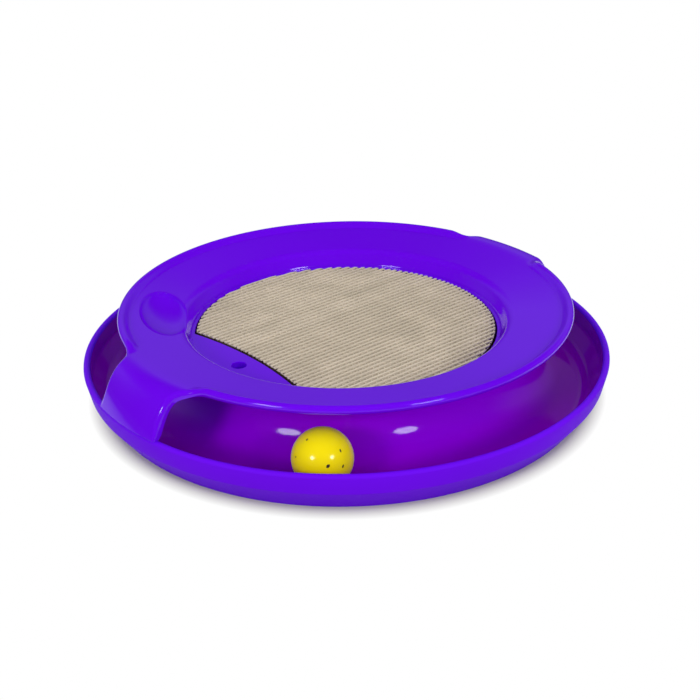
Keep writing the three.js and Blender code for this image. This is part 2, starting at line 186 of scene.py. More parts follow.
class DeckSizes(bpy.types.PropertyGroup):
    """Sizes of the top deck."""

    wall: length("Wall", "Thickness of the moulded wall", 2.4)
    well_radius: length("Well radius", "Radius of the well that holds the pad", 109.6)
    bite_centre: length("Bite centre", "Distance of the finger bite's centre from the middle", 350.9)
    bite_radius: length("Bite radius", "Radius of the well's wall at the finger bite", 268.5)
    well_floor: length("Well floor", "Height of the well's floor", 24.4)
    seat: length("Seat", "Height of the deck's underside on the ledge", 41.2)
    shelf: length("Shelf", "Height of the narrow shelf round the pad", 43.4)
    step_radius: length("Step radius", "Radius of the foot of the dish's wall", 110.7)
    step_fillet: length("Step fillet", "Softness of the corner between the shelf and the dish's wall", 0.7)
    seat_width: length("Seat width", "Seat on the ledge, from the foot of the dish's wall outward", 3.9)
    dish_slope: angle("Dish slope", "Slope of the dish's straight wall, from level", 57.0)
    dish_foot: length("Dish foot", "How far the steep foot of the dish's wall stands back", 0.8)
    foot_slope: angle("Foot slope", "Slope of the steep foot of the dish's wall, from level", 76.0)
    shoulder_radius: length("Shoulder radius", "Round of the shoulder between the dish's wall and the ring", 8.0)
    shoulder_rise: length("Shoulder rise", "Height of the ring's inner edge above the shelf", 11.79)
    ring_width: length("Ring width", "Width of the dished ring in plan", 34.9)
    ring_rise: length("Ring rise", "Rise of the dished ring from its inner edge to its outer edge", 4.9)
    lip_radius: length("Lip radius", "Radius of the rounded bead round the edge", 3.0)
    lip_foot: length("Lip foot", "Height of the bead's centre above the ring's edge", 0.9)
    lip_width: length("Lip width", "From the ring's edge to the bead's outer side", 6.7)
    lip_blend: length("Lip blend", "Hollow curve between the ring and the bead, measured from the outer side", 8.9)
    arm_half_width: length("Arm half width", "Half the width of an arm", 32.5)
    arm_fillet: length("Arm fillet", "Plan fillet between an arm and the bead", 18.0)
    arm_root: length("Arm root", "Radius at which an arm leaves the ring's slope", 152.54)
    arm_root_pull: length("Arm root pull", "How far the ring's slope carries on into the arm", 18.0)
    arm_tip_pull: length("Arm tip pull", "How far the tip's slope carries back up the arm", 34.0)
    arm_tip_slope: angle("Arm tip slope", "Slope of an arm at its tip, from level", 70.0)
    arm_tip_radius: length("Arm tip radius", "Radius of an arm's tip, flush with the rim", 189.95)
    arm_tip_height: length("Arm tip height", "Height of an arm's tip, on the rim", 31.8)
    arm_edge: length("Arm edge", "Radius of an arm's rounded side edges", 3.2)
    arm_flange: length("Arm flange", "Depth of an arm's turned-down sides", 5.0)
    bead_start: angle("Bead start", "Angle from an arm's middle where the bead begins to rise", 11.8)
    bead_full: angle("Bead full", "Angle from an arm's middle where the bead has its full height", 17.6)
    socket_radius: length("Socket radius", "Radius of the accessory socket", 5.25)
    socket_depth: length("Socket depth", "Depth of the accessory socket", 8.0)
    socket_x: length("Socket distance", "Distance of the accessory socket from the middle", 96.0)
    scoop_length: length("Scoop length", "Length of the thumb scoop", 73.0)
    scoop_width: length("Scoop width", "Width of the thumb scoop", 35.4)
    scoop_depth: length("Scoop depth", "Depth of the thumb scoop", 8.0)
    scoop_angle: angle("Scoop angle", "Direction of the thumb scoop from the middle", 141.4)
    scoop_turn: angle("Scoop turn", "Turn of the scoop's long way from the ring's", 10.4)
    scoop_radius: length("Scoop distance", "Distance of the scoop's centre from the middle", 131.04)
    scoop_foot: length("Scoop foot", "Hollow curve at the foot of the scoop's rim", 0.5)
    scoop_round: length("Scoop round", "Round of the scoop's rim", 0.7)


class PadSizes(bpy.types.PropertyGroup):
    """Sizes of the scratch pad."""

    radius: length("Radius", "Radius of the pad", 108.1)
    bite_centre: length("Bite centre", "Distance of the finger bite's centre from the middle", 350.9)
    bite_radius: length("Bite radius", "Radius of the finger bite", 270.0)
    bottom: length("Bottom", "Height of the pad's underside", 24.7)
    thickness: length("Thickness", "Height of a strip of board", 20.0)
    pitch: length("Pitch", "Distance from strip to strip", 4.3)
    glue_line: length("Glue line", "Gap between neighbouring strips", 0.12)
    liner: length("Liner", "Thickness of the flat paper of the board", 0.75)
    medium: length("Medium", "Thickness of the fluted paper of the board", 0.45)
    sunk: length("Sunk", "How far the fluted paper lies below the flat paper", 0.65)
    flute: length("Flute", "Length of one wave of the fluted paper", 5.25)
    ragged: length("Ragged", "How much lower some strips are cut than others", 0.3)
    seed: whole("Seed", "Seed of the strips' small differences", 7)


class BallSizes(bpy.types.PropertyGroup):
    """Sizes of the ball."""

    centre: spot(
        "Centre", "Middle of the ball",
        sum((Vector(c) for n in ("upper", "lower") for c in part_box(f"ball_{n}_half")), Vector()) / 4,
    )
    radius: length("Radius", "Radius of the ball", 20.0)
    wall: length("Wall", "Thickness of the ball's shell", 1.6)
    seam: length("Seam", "Gap between the ball's two halves", 0.03)
    fleck: length("Fleck", "Usual size of a dark fleck", 1.7)
    fleck_height: length("Fleck height", "Thickness of a dark fleck", 0.16)
    flecks: whole("Flecks", "Number of dark flecks on the ball", 26)
    seed: whole("Seed", "Seed of the flecks' places", 3)
    sides: whole("Sides", "Steps round the ball", 96)


class Finishes(bpy.types.PropertyGroup):
    """Colours of the toy."""

    deck: tint("Deck", "Purple of the top deck", 104, 6, 232)
    tray: tint("Tray", "Purple of the base tray's outside", 104, 4, 236)
    # Painted light and shade: the pedestal purple is the tray inside's own redder purple made lighter where the lamps
    # fall, and the darker track purple is painted shade under the deck.
    pedestal: tint("Pedestal", "Redder purple of the base tray's pedestal", 148, 0, 229)
    track: tint("Track", "Deep purple of the base tray's track", 144, 0, 190)
    card: tint("Card", "Raw corrugated board", 220, 208, 190)
    # Painted shade: a dark brown for the pad's side near its outline, where the gap round the pad lies in shadow.
    pad_gap_shade_tint: tint("Card side", "Brown cut side of the pad", 80, 60, 43)
    ball: tint("Ball", "Yellow of the ball", 247, 224, 5)
    fleck: tint("Fleck", "Dark flecks on the ball", 46, 26, 12)
    rattle: tint("Rattle", "Loose bead in the ball", 216, 216, 216)
    floor: tint("Floor", "Pale floor", 214, 213, 186)


class StageSettings(bpy.types.PropertyGroup):
    """Camera and light."""

    distance: length("Distance", "Distance from the camera to its target", 963.3)
    azimuth: angle("Azimuth", "Turn of the camera round the toy", -39.5)
    elevation: angle("Elevation", "Height of the camera above the horizon", 25.75)
    target: length("Target height", "Height of the point that the camera looks at", 29.45)
    roll: angle("Roll", "Tilt of the camera about its own axis", -1.2)
    lens: number("Lens", "Focal length on a 36 mm sensor", 67.57)
    shift_x: number("Shift across", "Camera shift across, in image widths", 0.0054)
    shift_y: number("Shift up", "Camera shift up, in image widths", -0.0107)
    left_lamp: spot("Left lamp", "Place of the left soft lamp", (-1.43, -0.34, 0.66))
    right_lamp: spot("Right lamp", "Place of the right soft lamp", (-0.08, -1.46, 0.68))
    lamp_width: length("Lamp width", "Width of a soft lamp", 400)
    lamp_height: length("Lamp height", "Height of a soft lamp", 315)
    lamp_power: number("Lamp power", "Watts of a soft lamp", 5.6)
    fill: number("Fill", "Strength of the even light from all round", 0.78)


PROPERTY_GROUPS = {
    "toy_tray": TraySizes,
    "toy_deck": DeckSizes,
    "toy_pad": PadSizes,
    "toy_ball": BallSizes,
    "toy_finish": Finishes,
    "toy_stage": StageSettings,
}


# Nodes


class Nodes:
    """Short ways to add nodes to a tree and to join them."""

    def __init__(self, tree):
        self.tree = tree

    def feed(self, socket, value):
        """Joins an output to a socket, or sets the socket's own value."""
        if isinstance(value, bpy.types.NodeSocket):
            self.tree.links.new(value, socket)
        else:
            socket.default_value = value

    def add(self, kind, *values, **settings):
        """Node with options and inputs set by name, and its first inputs fed in order."""
        node = self.tree.nodes.new(kind)
        for key, value in settings.items():
            if hasattr(node, key):
                setattr(node, key, value)
            else:
                self.feed(node.inputs[key.replace("_", " ")], value)
        for socket, value in zip(node.inputs, values):
            self.feed(socket, value)
        return node

    def maths(self, operation, *values):
        """Number worked out from numbers."""
        return self.add("ShaderNodeMath", *values, operation=operation).outputs[0]

    def vector_maths(self, operation, *values):
        """Vector worked out from vectors, or the number that measures them."""
        node = self.add("ShaderNodeVectorMath", *values, operation=operation)
        return node.outputs["Value" if operation in ("LENGTH", "DISTANCE", "DOT_PRODUCT") else "Vector"]

    def vector(self, x, y, z):
        """Vector from its three parts."""
        return self.add("ShaderNodeCombineXYZ", x, y, z).outputs[0]

    def parts(self, vector):
        """Three parts of a vector."""
        return self.add("ShaderNodeSeparateXYZ", vector).outputs

    def place(self, x=1, y=1, z=1):
        """Object coordinates, stretched along each axis."""
        where = self.add("ShaderNodeTexCoord").outputs["Object"]
        return self.add("ShaderNodeMapping", where, Scale=(x, y, z)).outputs["Vector"]

    def noise(self, where, scale, detail=3.0, roughness=0.5):
        """Noise at a scale, as a value."""
        return self.add("ShaderNodeTexNoise", where, Scale=scale, Detail=detail, Roughness=roughness).outputs["Fac"]

    def ramp(self, value, low, high, to_low=0.0, to_high=1.0):
        """Value taken from one range to another, held at its ends."""
        node = self.add("ShaderNodeMapRange", value, From_Min=low, From_Max=high, To_Min=to_low, To_Max=to_high)
        return node.outputs["Result"]

    def mixed(self, factor, first, second, blend="MIX"):
        """Colour between two colours, or another blend of them."""
        node = self.add("ShaderNodeMix", factor, data_type="RGBA", blend_type=blend)
        self.feed(node.inputs[6], first)
        self.feed(node.inputs[7], second)
        return node.outputs[2]

    def rays(self, *kinds):
        """Share that is 1 for rays of any of these kinds."""
        path = self.add("ShaderNodeLightPath").outputs
        share = path[kinds[0]]
        for kind in kinds[1:]:
            share = self.maths("MAXIMUM", share, path[kind])
        return share

    def end_in_mix(self, output, first, second, share=None):
        """Ends the tree in a mix of two shaders, the second for a share of rays that show a background."""
        seen = self.rays("Is Camera Ray", "Is Glossy Ray", "Is Transmission Ray")
        share = seen if share is None else self.maths("MULTIPLY", share, seen)
        mix = self.add("ShaderNodeMixShader", share, first.outputs[0], second.outputs[0])
        self.feed(self.tree.nodes[output].inputs["Surface"], mix.outputs[0])


class Finish(Nodes):
    """Nodes of a new material."""

    def __init__(self, name):
        self.material = bpy.data.materials.new(name)
        self.material.use_nodes = True
        super().__init__(self.material.node_tree)
        self.shader = self.tree.nodes["Principled BSDF"]

    def bump(self, height, strength, distance=0.2 * MM):
        """Small relief on the surface."""
        node = self.add("ShaderNodeBump", Height=height, Strength=strength, Distance=distance)
        self.feed(self.shader.inputs["Normal"], node.outputs["Normal"])

    def surface(self, colour, roughness, shine=0.5):
        """Sets the shader's colour, roughness and shine, and gives the material."""
        for name, value in (("Base Color", colour), ("Roughness", roughness), ("Specular IOR Level", shine)):
            self.feed(self.shader.inputs[name], value)
        return self.material


class Group(Nodes):
    """Nodes of a new geometry node group with named inputs."""

    def __init__(self, name, **inputs):
        super().__init__(bpy.data.node_groups.new(name, "GeometryNodeTree"))
        inputs = {"Geometry": ["Geometry"], **inputs, "Material": ["Material"]}
        for kind, labels in inputs.items():
            for label in labels:
                self.tree.interface.new_socket(label, in_out="INPUT", socket_type="NodeSocket" + kind)
        self.tree.interface.new_socket("Geometry", in_out="OUTPUT", socket_type="NodeSocketGeometry")
        self.given = self.add("NodeGroupInput").outputs

    def position(self):
        """Place of each point."""
        return self.add("GeometryNodeInputPosition").outputs[0]

    def moved(self, geometry, **to):
        """Geometry with its points set to a position or moved by an offset."""
        return self.add("GeometryNodeSetPosition", geometry, **to).outputs[0]

    def finish(self, geometry):
        """Ends the group in real geometry with its material."""
        real = self.add("GeometryNodeRealizeInstances", geometry).outputs[0]
        painted = self.add("GeometryNodeSetMaterial", real, Material=self.given["Material"]).outputs[0]
        self.add("NodeGroupOutput", painted)
        return self.tree


# Materials


def shaded(colour, factor):
    """Colour made lighter or darker, with full alpha."""
    return [min(1.0, c * factor) for c in colour] + [1.0]


def gloss_plastic(name, colour, smooth, dull, shine, outer=None):
    """Glossy moulded plastic: faint flow marks in the colour, uneven gloss, hair scratches and a soft skin.

    An outer colour, with the radii between which it takes over, gives the plastic another tone away from the middle;
    the tray uses it for painted shade, darker in its track.
    """
    nodes = Finish(name)
    plain = nodes.place()
    flow = nodes.ramp(nodes.noise(plain, scale=9.0, detail=2.0), 0.3, 0.7)

    def paint(tone):
        return nodes.mixed(flow, shaded(tone, 0.96), shaded(tone, 1.03))

    colour_and_painted_shade = paint(colour)
    # Where the tray passes an outer colour, it is painted shade: a darker purple in the track.
    if outer:
        tone, near, far = outer
        radius = nodes.vector_maths("LENGTH", nodes.place(z=0))
        colour_and_painted_shade = nodes.mixed(nodes.ramp(radius, near, far), colour_and_painted_shade, paint(tone))
    scratch = nodes.noise(nodes.place(40, 900, 900), scale=1.0, detail=2.0, roughness=0.7)
    nodes.bump(nodes.noise(plain, scale=420.0, detail=2.0), strength=0.03)
    return nodes.surface(colour_and_painted_shade, nodes.ramp(scratch, 0.66, 0.78, smooth, dull), shine)


def painted_gap_shade_share(nodes, size):
    """Share of a place painted with shade on the pad's side: close to its outline and below the fluted paper's top,
    where the gap round the pad lies in shadow.
    """
    where = nodes.place()
    flat = nodes.vector_maths("MULTIPLY", where, (1, 1, 0))
    from_middle = nodes.vector_maths("LENGTH", flat)
    from_bite = nodes.vector_maths("DISTANCE", flat, (-size.bite_centre, 0, 0))
    reach, end = 0.35 * size.flute, 0.45 * size.flute
    at_rim = nodes.ramp(from_middle, size.radius - end, size.radius - reach)
    at_bite = nodes.ramp(from_bite, size.bite_radius + reach, size.bite_radius + end, 1.0, 0.0)
    top = size.bottom + size.thickness - size.ragged - size.sunk
    below = nodes.ramp(nodes.parts(where)["Z"], top - size.medium / 2, top, 1.0, 0.0)
    return nodes.maths("MULTIPLY", nodes.maths("MAXIMUM", at_rim, at_bite), below)


def cardboard(name, colour, painted_gap_shade_colour, size):
    """Raw paper of corrugated board: fibres, blotches, a tone of its own for each strip, and painted shade on its side
    near the outline.
    """
    nodes = Finish(name)
    fibre = nodes.noise(nodes.place(500, 1700, 1700), scale=1.0, roughness=0.65)
    blotch = nodes.noise(nodes.place(), scale=38.0)
    strip = nodes.vector_maths("FLOOR", nodes.place(0, 1 / size.pitch, 0))
    tone = nodes.add("ShaderNodeTexWhiteNoise", strip, noise_dimensions="3D").outputs["Value"]
    paper = nodes.mixed(nodes.ramp(fibre, 0.3, 0.7), shaded(colour, 0.9), shaded(colour, 1.06))
    blotched = nodes.mixed(nodes.ramp(blotch, 0.35, 0.7), (0.9, 0.89, 0.87, 1), (1.04, 1.03, 1.02, 1))
    toned = nodes.mixed(tone, (0.92, 0.915, 0.9, 1), (1.03, 1.03, 1.03, 1))
    for shade in (blotched, toned):
        paper = nodes.mixed(1.0, paper, shade, "MULTIPLY")
    # Painted shade: the pad's side near its outline takes a dark brown, for the shadow in the gap round the pad.
    paper = nodes.mixed(painted_gap_shade_share(nodes, size), paper, (*painted_gap_shade_colour, 1.0))
    nodes.bump(fibre, strength=0.35)
    return nodes.surface(paper, nodes.ramp(fibre, 0.2, 0.8, 0.82, 0.98), shine=0.25)


def paint_fleck(name, colour):
    """Dark fleck with an uneven dull surface."""
    nodes = Finish(name)
    grain = nodes.noise(nodes.place(), scale=1500.0)
    paint = nodes.mixed(grain, shaded(colour, 0.6), shaded(colour, 1.5))
    return nodes.surface(paint, nodes.ramp(grain, 0.3, 0.7, 0.4, 0.7))


# Meshes


def add_object(name, data):
    """Object at the origin in the scene."""
    thing = bpy.data.objects.new(name, data)
    bpy.context.scene.collection.objects.link(thing)
    return thing


def dress(thing, body, nodes):
    """Puts a finished piece in place of its CAD nodes and on its body."""
    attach(thing, body)
    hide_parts(*nodes)


def smooth_by_angle(mesh, degrees):
    """Smooth shading with sharp edges where faces meet at more than an angle."""
    mesh.polygons.foreach_set("use_smooth", np.ones(len(mesh.polygons), bool))
    mesh.set_sharp_from_angle(angle=radians(degrees))


def face_outward(mesh, drop_flat=False):
    """Turns a closed mesh's faces outward, after dropping those that collapsed to a line where asked."""
    shape = bmesh.new()
    shape.from_mesh(mesh)
    if drop_flat:
        bmesh.ops.dissolve_degenerate(shape, edges=shape.edges, dist=1e-7)
    bmesh.ops.recalc_face_normals(shape, faces=shape.faces)
    shape.to_mesh(mesh)
    shape.free()


def grown(name, start, group, values):
    """Object with the plain mesh that a node group makes from a starting mesh."""
    carrier = add_object(name + "_carrier", start)
    modifier = carrier.modifiers.new(group.name, "NODES")
    modifier.node_group = group
    for item in group.interface.items_tree:
        if item.item_type == "SOCKET" and item.in_out == "INPUT" and item.name in values:
            modifier[item.identifier] = values[item.name]
    evaluated = carrier.evaluated_get(bpy.context.evaluated_depsgraph_get())
    mesh = bpy.data.meshes.new_from_object(evaluated)
    mesh.name = name
    bpy.data.objects.remove(carrier)
    mesh.materials.clear()
    mesh.materials.append(values["Material"])
    return add_object(name, mesh)


def points_mesh(name, points):
    """Mesh of loose points."""
    mesh = bpy.data.meshes.new(name)
    mesh.from_pydata(points, [], [])
    return mesh


def turning_group():
    """Node group that turns a profile of points about the upright axis into a closed skin."""
    nodes = Group("Turned profile", Int=["Sides", "Points"])
    given, maths = nodes.given, nodes.maths
    rows = maths("ADD", given["Sides"], 1)
    grid = nodes.add("GeometryNodeMeshGrid", Vertices_X=given["Points"], Vertices_Y=rows).outputs["Mesh"]
    index = nodes.add("GeometryNodeInputIndex").outputs[0]
    along = maths("FLOOR", maths("DIVIDE", maths("ADD", index, 0.5), rows))
    step = maths("SUBTRACT", index, maths("MULTIPLY", along, rows))
    turn = maths("MULTIPLY", maths("DIVIDE", step, given["Sides"]), 2 * pi)
    sample = nodes.add("GeometryNodeSampleIndex", data_type="FLOAT_VECTOR", domain="POINT")
    for label, value in (("Geometry", given["Geometry"]), ("Value", nodes.position()), ("Index", along)):
        nodes.feed(sample.inputs[label], value)
    point = nodes.parts(sample.outputs[0])
    x, y = (maths("MULTIPLY", point["X"], maths(side, turn)) for side in ("COSINE", "SINE"))
    skin = nodes.moved(grid, Position=nodes.vector(x, y, point["Z"]))
    return nodes.finish(nodes.add("GeometryNodeMergeByDistance", skin, Distance=1e-6).outputs[0])


def turned_piece(name, profile, sides, material, centre=(0, 0, 0)):
    """Closed turned piece from a closed profile that runs up its outer side and down its inner one."""
    start = points_mesh(name + "_profile", [(r, 0, z) for r, z in profile])
    group = bpy.data.node_groups.get("Turned profile") or turning_group()
    piece = grown(name, start, group, {"Sides": sides, "Points": len(profile), "Material": material})
    face_outward(piece.data, drop_flat=True)
    piece.data.transform(Matrix.Translation(Vector(centre)))
    smooth_by_angle(piece.data, degrees=50)
    return piece


def paint_outside(mesh, beyond, above, material):
    """Gives another material to faces that look down, and beyond a radius to those that look outward or lie high."""
    mesh.materials.append(material)
    for face in mesh.polygons:
        flat = Vector(face.center[:2])
        outside = flat.dot(face.normal[:2]) > 0 or face.center.z > above
        if outside and flat.length > beyond or face.normal.z < -0.1:
            face.material_index = len(mesh.materials) - 1


# Base tray


def rounded_corner(before, corner, after, radius, steps=5):
    """Points of a small rounded corner in a profile."""
    corner = np.array(corner, float)
    to_before = np.array(before, float) - corner
    to_after = np.array(after, float) - corner
    to_before /= np.linalg.norm(to_before)
    to_after /= np.linalg.norm(to_after)
    half = np.arccos(np.clip(to_before @ to_after, -1, 1)) / 2
    reach = radius / np.tan(half)
    middle = to_before + to_after
    centre = corner + middle / np.linalg.norm(middle) * radius / np.sin(half)
    first = corner + to_before * reach - centre
    last = corner + to_after * reach - centre
    sweep = np.arctan2(first[0] * last[1] - first[1] * last[0], first @ last)
    points = []
    for turn in np.linspace(0, sweep, steps + 1):
        c, s = np.cos(turn), np.sin(turn)
        points.append(centre + (c * first[0] - s * first[1], s * first[0] + c * first[1]))
    return points


def arc_points(centre, radius, from_degrees, to_degrees, steps):
    """Points along an arc of a profile."""
    turns = np.radians(np.linspace(from_degrees, to_degrees, steps + 1))
    return [np.array((centre[0] + radius * cos(t), centre[1] + radius * sin(t))) for t in turns]


def tray_profile(size):
    """Closed profile of the base tray: from the ledge along the underside to the rim, and back along the inside."""
    floor = size.underside + size.wall
    cove_top = floor + size.cove_radius
    ledge = cove_top + size.neck_height
    track = size.ledge_inner + size.ledge_width + size.cove_radius
    slope = size.wall_slope
    fillet_radius = track + size.track_flat
    wall_foot = fillet_radius + size.track_fillet * np.tan(slope / 2)
    foot_outer = wall_foot + size.wall / sin(slope) - floor / np.tan(slope)
    foot_inner = foot_outer - size.foot_width
    band_radius = foot_outer + size.band_height / np.tan(slope)
    rim_radius = band_radius + size.band_flare
    small = size.corner_round
    under = size.cove_radius + size.wall
    under_start = 180 + np.degrees(asin((size.wall - size.neck_height) / under))
    rim_centre = (rim_radius - size.rim_round, size.rim_height - size.rim_round)
    rim_inner = (rim_centre[0] - size.rim_round, rim_centre[1])
    band = (band_radius, size.band_height)
    band_inner = np.array((band_radius - size.wall, size.band_height + size.wall / 2))
    fillet_centre = (fillet_radius, floor + size.track_fillet)
    fillet = arc_points(fillet_centre, size.track_fillet, np.degrees(slope) - 90, -90, steps=12)
    cove = arc_points((track, cove_top), size.cove_radius, 270, 180, steps=28)
    neck = (track - size.cove_radius, ledge)
    inner_top = (size.ledge_inner, ledge)
    profile = [np.array((size.ledge_inner, ledge - size.wall))]
    profile += arc_points((track, cove_top), under, under_start, 270, steps=20)
    profile += [np.array((foot_inner, size.underside)), np.array((foot_inner, small))]
    profile += rounded_corner((foot_inner, size.underside * 2), (foot_inner, 0), (foot_outer, 0), small / 2, steps=3)
    profile += rounded_corner((foot_inner, 0), (foot_outer, 0), band, small)
    profile += rounded_corner((foot_outer, 0), band, (rim_radius, rim_centre[1]), small * 2)
    profile += arc_points(rim_centre, size.rim_round, 0, 180, steps=14)
    profile += rounded_corner(rim_inner, band_inner, fillet[0], size.wall * 2)
    profile += fillet + cove
    profile += rounded_corner(cove[-1], neck, inner_top, small / 2, steps=4)
    profile += rounded_corner(neck, inner_top, profile[0], small / 2, steps=4)
    profile.append(profile[0])
    return [tuple(p) for p in profile]


# Top deck


def soft_lower(first, second, softness):
    """Lower of two heights, rounded where they cross."""
    return (first + second - np.sqrt((first - second) ** 2 + softness**2)) / 2


def from_axis(plan):
    """Distance of places in plan from the middle."""
    return np.hypot(plan[:, 0], plan[:, 1])


def polar(radius, turn):
    """Places in plan from their distances and directions."""
    return np.stack((radius * np.cos(turn), radius * np.sin(turn)), 1)


class DeckForm:
    """Heights of the deck's top and underside over its plan."""

    def __init__(self, size):
        self.size = size
        self.slope = size.ring_rise / size.ring_width
        self.lean = atan2(size.ring_rise, size.ring_width)
        dish_rise = size.shoulder_rise - size.shoulder_radius * (cos(self.lean) - cos(size.dish_slope))
        self.dish_outer = size.step_radius + dish_rise / tan(size.dish_slope)
        self.shoulder = self.dish_outer + size.shoulder_radius * sin(size.dish_slope)
        self.ring_inner = self.shoulder - size.shoulder_radius * sin(self.lean)
        self.ring_start = size.shelf + size.shoulder_rise
        self.shoulder_height = self.ring_start - size.shoulder_radius * cos(self.lean)
        self.ring_outer = self.ring_inner + size.ring_width
        self.outer = self.ring_outer + size.lip_width
        self.lip_height = self.ring_start + size.ring_rise + size.lip_foot
        self.fillet_y = size.arm_half_width + size.arm_fillet
        self.fillet_x = sqrt((self.outer + size.arm_fillet) ** 2 - self.fillet_y**2)
        self.root_angle = atan2(self.fillet_y, self.fillet_x)
        self.trace_arm()
        self.rim_turns = np.linspace(0, 2 * pi, SCOOP_TURN, endpoint=False)
        self.rim_shares = self.scoop_rim(self.rim_turns)

    def ring(self, radius):
        """Height of the dished ring's slope."""
        return self.ring_start + (radius - self.ring_inner) * self.slope

    def shoulder_curve(self, radius, depth):
        """Height of the rounded shoulder, or of the curve that runs below it at a depth."""
        reach = self.size.shoulder_radius - depth
        across = np.clip((self.shoulder - radius) / reach, 0, 1)
        return self.shoulder_height + reach * np.sqrt(1 - across**2)

    def plain_top(self, radius):
        """Height of the shelf, the dish's wall, the shoulder and the ring, by radius alone."""
        size = self.size
        wall = size.shelf + (radius - size.step_radius) * tan(size.dish_slope)
        foot = size.shelf + (radius - size.step_radius - size.dish_foot) * tan(size.foot_slope)
        wall = soft_lower(wall, foot, size.step_fillet)
        height = np.where(radius < self.ring_inner, self.shoulder_curve(radius, 0), self.ring(radius))
        height = np.where(radius < self.dish_outer, wall, height)
        return -soft_lower(-height, -size.shelf, size.step_fillet)

    def trace_arm(self):
        """Line of an arm's top along its radius, its slope, and the lines below it."""
        size = self.size
        root = np.array((size.arm_root, self.ring(size.arm_root)))
        tip = np.array((size.arm_tip_radius, size.arm_tip_height))
        first = root + size.arm_root_pull * np.array((cos(self.lean), sin(self.lean)))
        last = tip + size.arm_tip_pull * np.array((-cos(size.arm_tip_slope), sin(size.arm_tip_slope)))
        t = np.linspace(0, 1, ARM_STEPS + 1)[:, None]
        line = (1 - t) ** 3 * root + 3 * t * (1 - t) ** 2 * first + 3 * t * t * (1 - t) * last + t**3 * tip
        along = np.gradient(line, axis=0)
        along /= np.linalg.norm(along, axis=1)[:, None]
        self.arm_line = line
        self.arm_level = along[:, 0]
        rows = np.linspace(0, ARM_STEPS, ARM_ROWS)
        self.arm_radii = np.interp(rows, np.arange(ARM_STEPS + 1), line[:, 0])[1:-1]
        self.arm_lower = {}
        for depth in (size.wall, size.arm_flange):
            under = line + depth * np.stack((along[:, 1], -along[:, 0]), 1)
            under[:, 1] = np.maximum(under[:, 1], size.arm_tip_height)
            self.arm_lower[depth] = under

    def arm_top(self, radius):
        """Height of an arm's middle line, carried on straight past its tip."""
        size = self.size
        past = np.maximum(radius - size.arm_tip_radius, 0) * tan(size.arm_tip_slope)
        return np.where(radius < size.arm_root, self.ring(radius), np.interp(radius, *self.arm_line.T) - past)

    def arm_under(self, radius, depth):
        """Height of the line that runs below an arm's top at a depth."""
        line = self.arm_lower[depth]
        level = depth / cos(self.lean)
        return np.where(radius < line[0, 0], self.ring(radius) - level, np.interp(radius, *line.T))

    def edge_gap(self, plan):
        """Distance inside the deck's outline, leaving out the arms' tips."""
        x, y = np.abs(plan[:, 0]), np.abs(plan[:, 1])
        from_x, from_y = x - self.fillet_x, y - self.fillet_y
        turn = np.arctan2(-from_y, -from_x)
        fillet = np.hypot(from_x, from_y) - self.size.arm_fillet
        gap = np.where(turn < self.root_angle, self.outer - np.hypot(x, y), fillet)
        return np.where(x > self.fillet_x, self.size.arm_half_width - y, gap)

    def bead_share(self, plan):
        """Share of the bead's full height at a place, from 0 on the arms to 1 round the ring."""
        turn = np.arctan2(np.abs(plan[:, 1]), np.abs(plan[:, 0]))
        share = (turn - self.size.bead_start) / (self.size.bead_full - self.size.bead_start)
        share = np.clip(share, 0, 1)
        return share * share * (3 - 2 * share)

    def bead_top(self, gap, radius):
        """Height of the bead and of the hollow curve inside it."""
        lip, blend = self.size.lip_radius, self.size.lip_blend
        crest_end = lip * CREST_END
        height = self.lip_height + np.sqrt(np.maximum(lip**2 - (lip - np.clip(gap, 0, crest_end)) ** 2, 0))
        drop = sqrt(lip**2 - (crest_end - lip) ** 2)
        span = blend - crest_end
        t = np.clip((gap - crest_end) / span, 0, 1)
        hollow = (
            (2 * t**3 - 3 * t**2 + 1) * (self.lip_height + drop)
            - (t**3 - 2 * t**2 + t) * span * (crest_end - lip) / drop
            + (3 * t**2 - 2 * t**3) * self.ring(radius + gap - blend)
            - (t**3 - t**2) * span * self.slope
        )
        return np.where(gap < crest_end, height, hollow)

    def scoop_place(self, plan, margin=0):
        """Place about the thumb scoop's middle: share of the way to its edge, and direction."""
        size = self.size
        c, s = cos(size.scoop_angle), sin(size.scoop_angle)
        out = (plan[:, 0] * c + plan[:, 1] * s - size.scoop_radius) * sqrt(1 + self.slope**2)
        side = plan[:, 1] * c - plan[:, 0] * s
        c, s = cos(size.scoop_turn), sin(size.scoop_turn)
        wide = (out * c + side * s) / (size.scoop_width / 2 + margin)
        long = (side * c - out * s) / (size.scoop_length / 2 + margin)
        return np.hypot(wide, long), np.arctan2(long, wide)

    def scoop_plan(self, share, turn):
        """Plan of places given by their share and direction about the scoop's middle."""
        size = self.size
        wide = share * size.scoop_width / 2 * np.cos(turn)
        long = share * size.scoop_length / 2 * np.sin(turn)
        c, s = cos(size.scoop_turn), sin(size.scoop_turn)
        out = size.scoop_radius + (wide * c - long * s) / sqrt(1 + self.slope**2)
        side = wide * s + long * c
        c, s = cos(size.scoop_angle), sin(size.scoop_angle)
        return np.stack((out * c - side * s, out * s + side * c), 1)

    def scoop_plane(self, plan):
        """Height of the plane that the scoop's oval lies in."""
        size = self.size
        out = plan[:, 0] * cos(size.scoop_angle) + plan[:, 1] * sin(size.scoop_angle)
        return self.ring(size.scoop_radius) + (out - size.scoop_radius) * self.slope

    def scoop_cut(self, plan):
        """Height of the scoop's hollow, carried on steeply outside it."""
        depth, foot = self.size.scoop_depth, self.size.scoop_foot
        share, _ = self.scoop_place(plan)
        hollow = np.sqrt(depth**2 * np.clip(1 - share**2, 0, 1) + foot**2) - foot
        beyond = np.maximum(share - 1, 0) * depth**2 / foot
        return self.scoop_plane(plan) - hollow + beyond

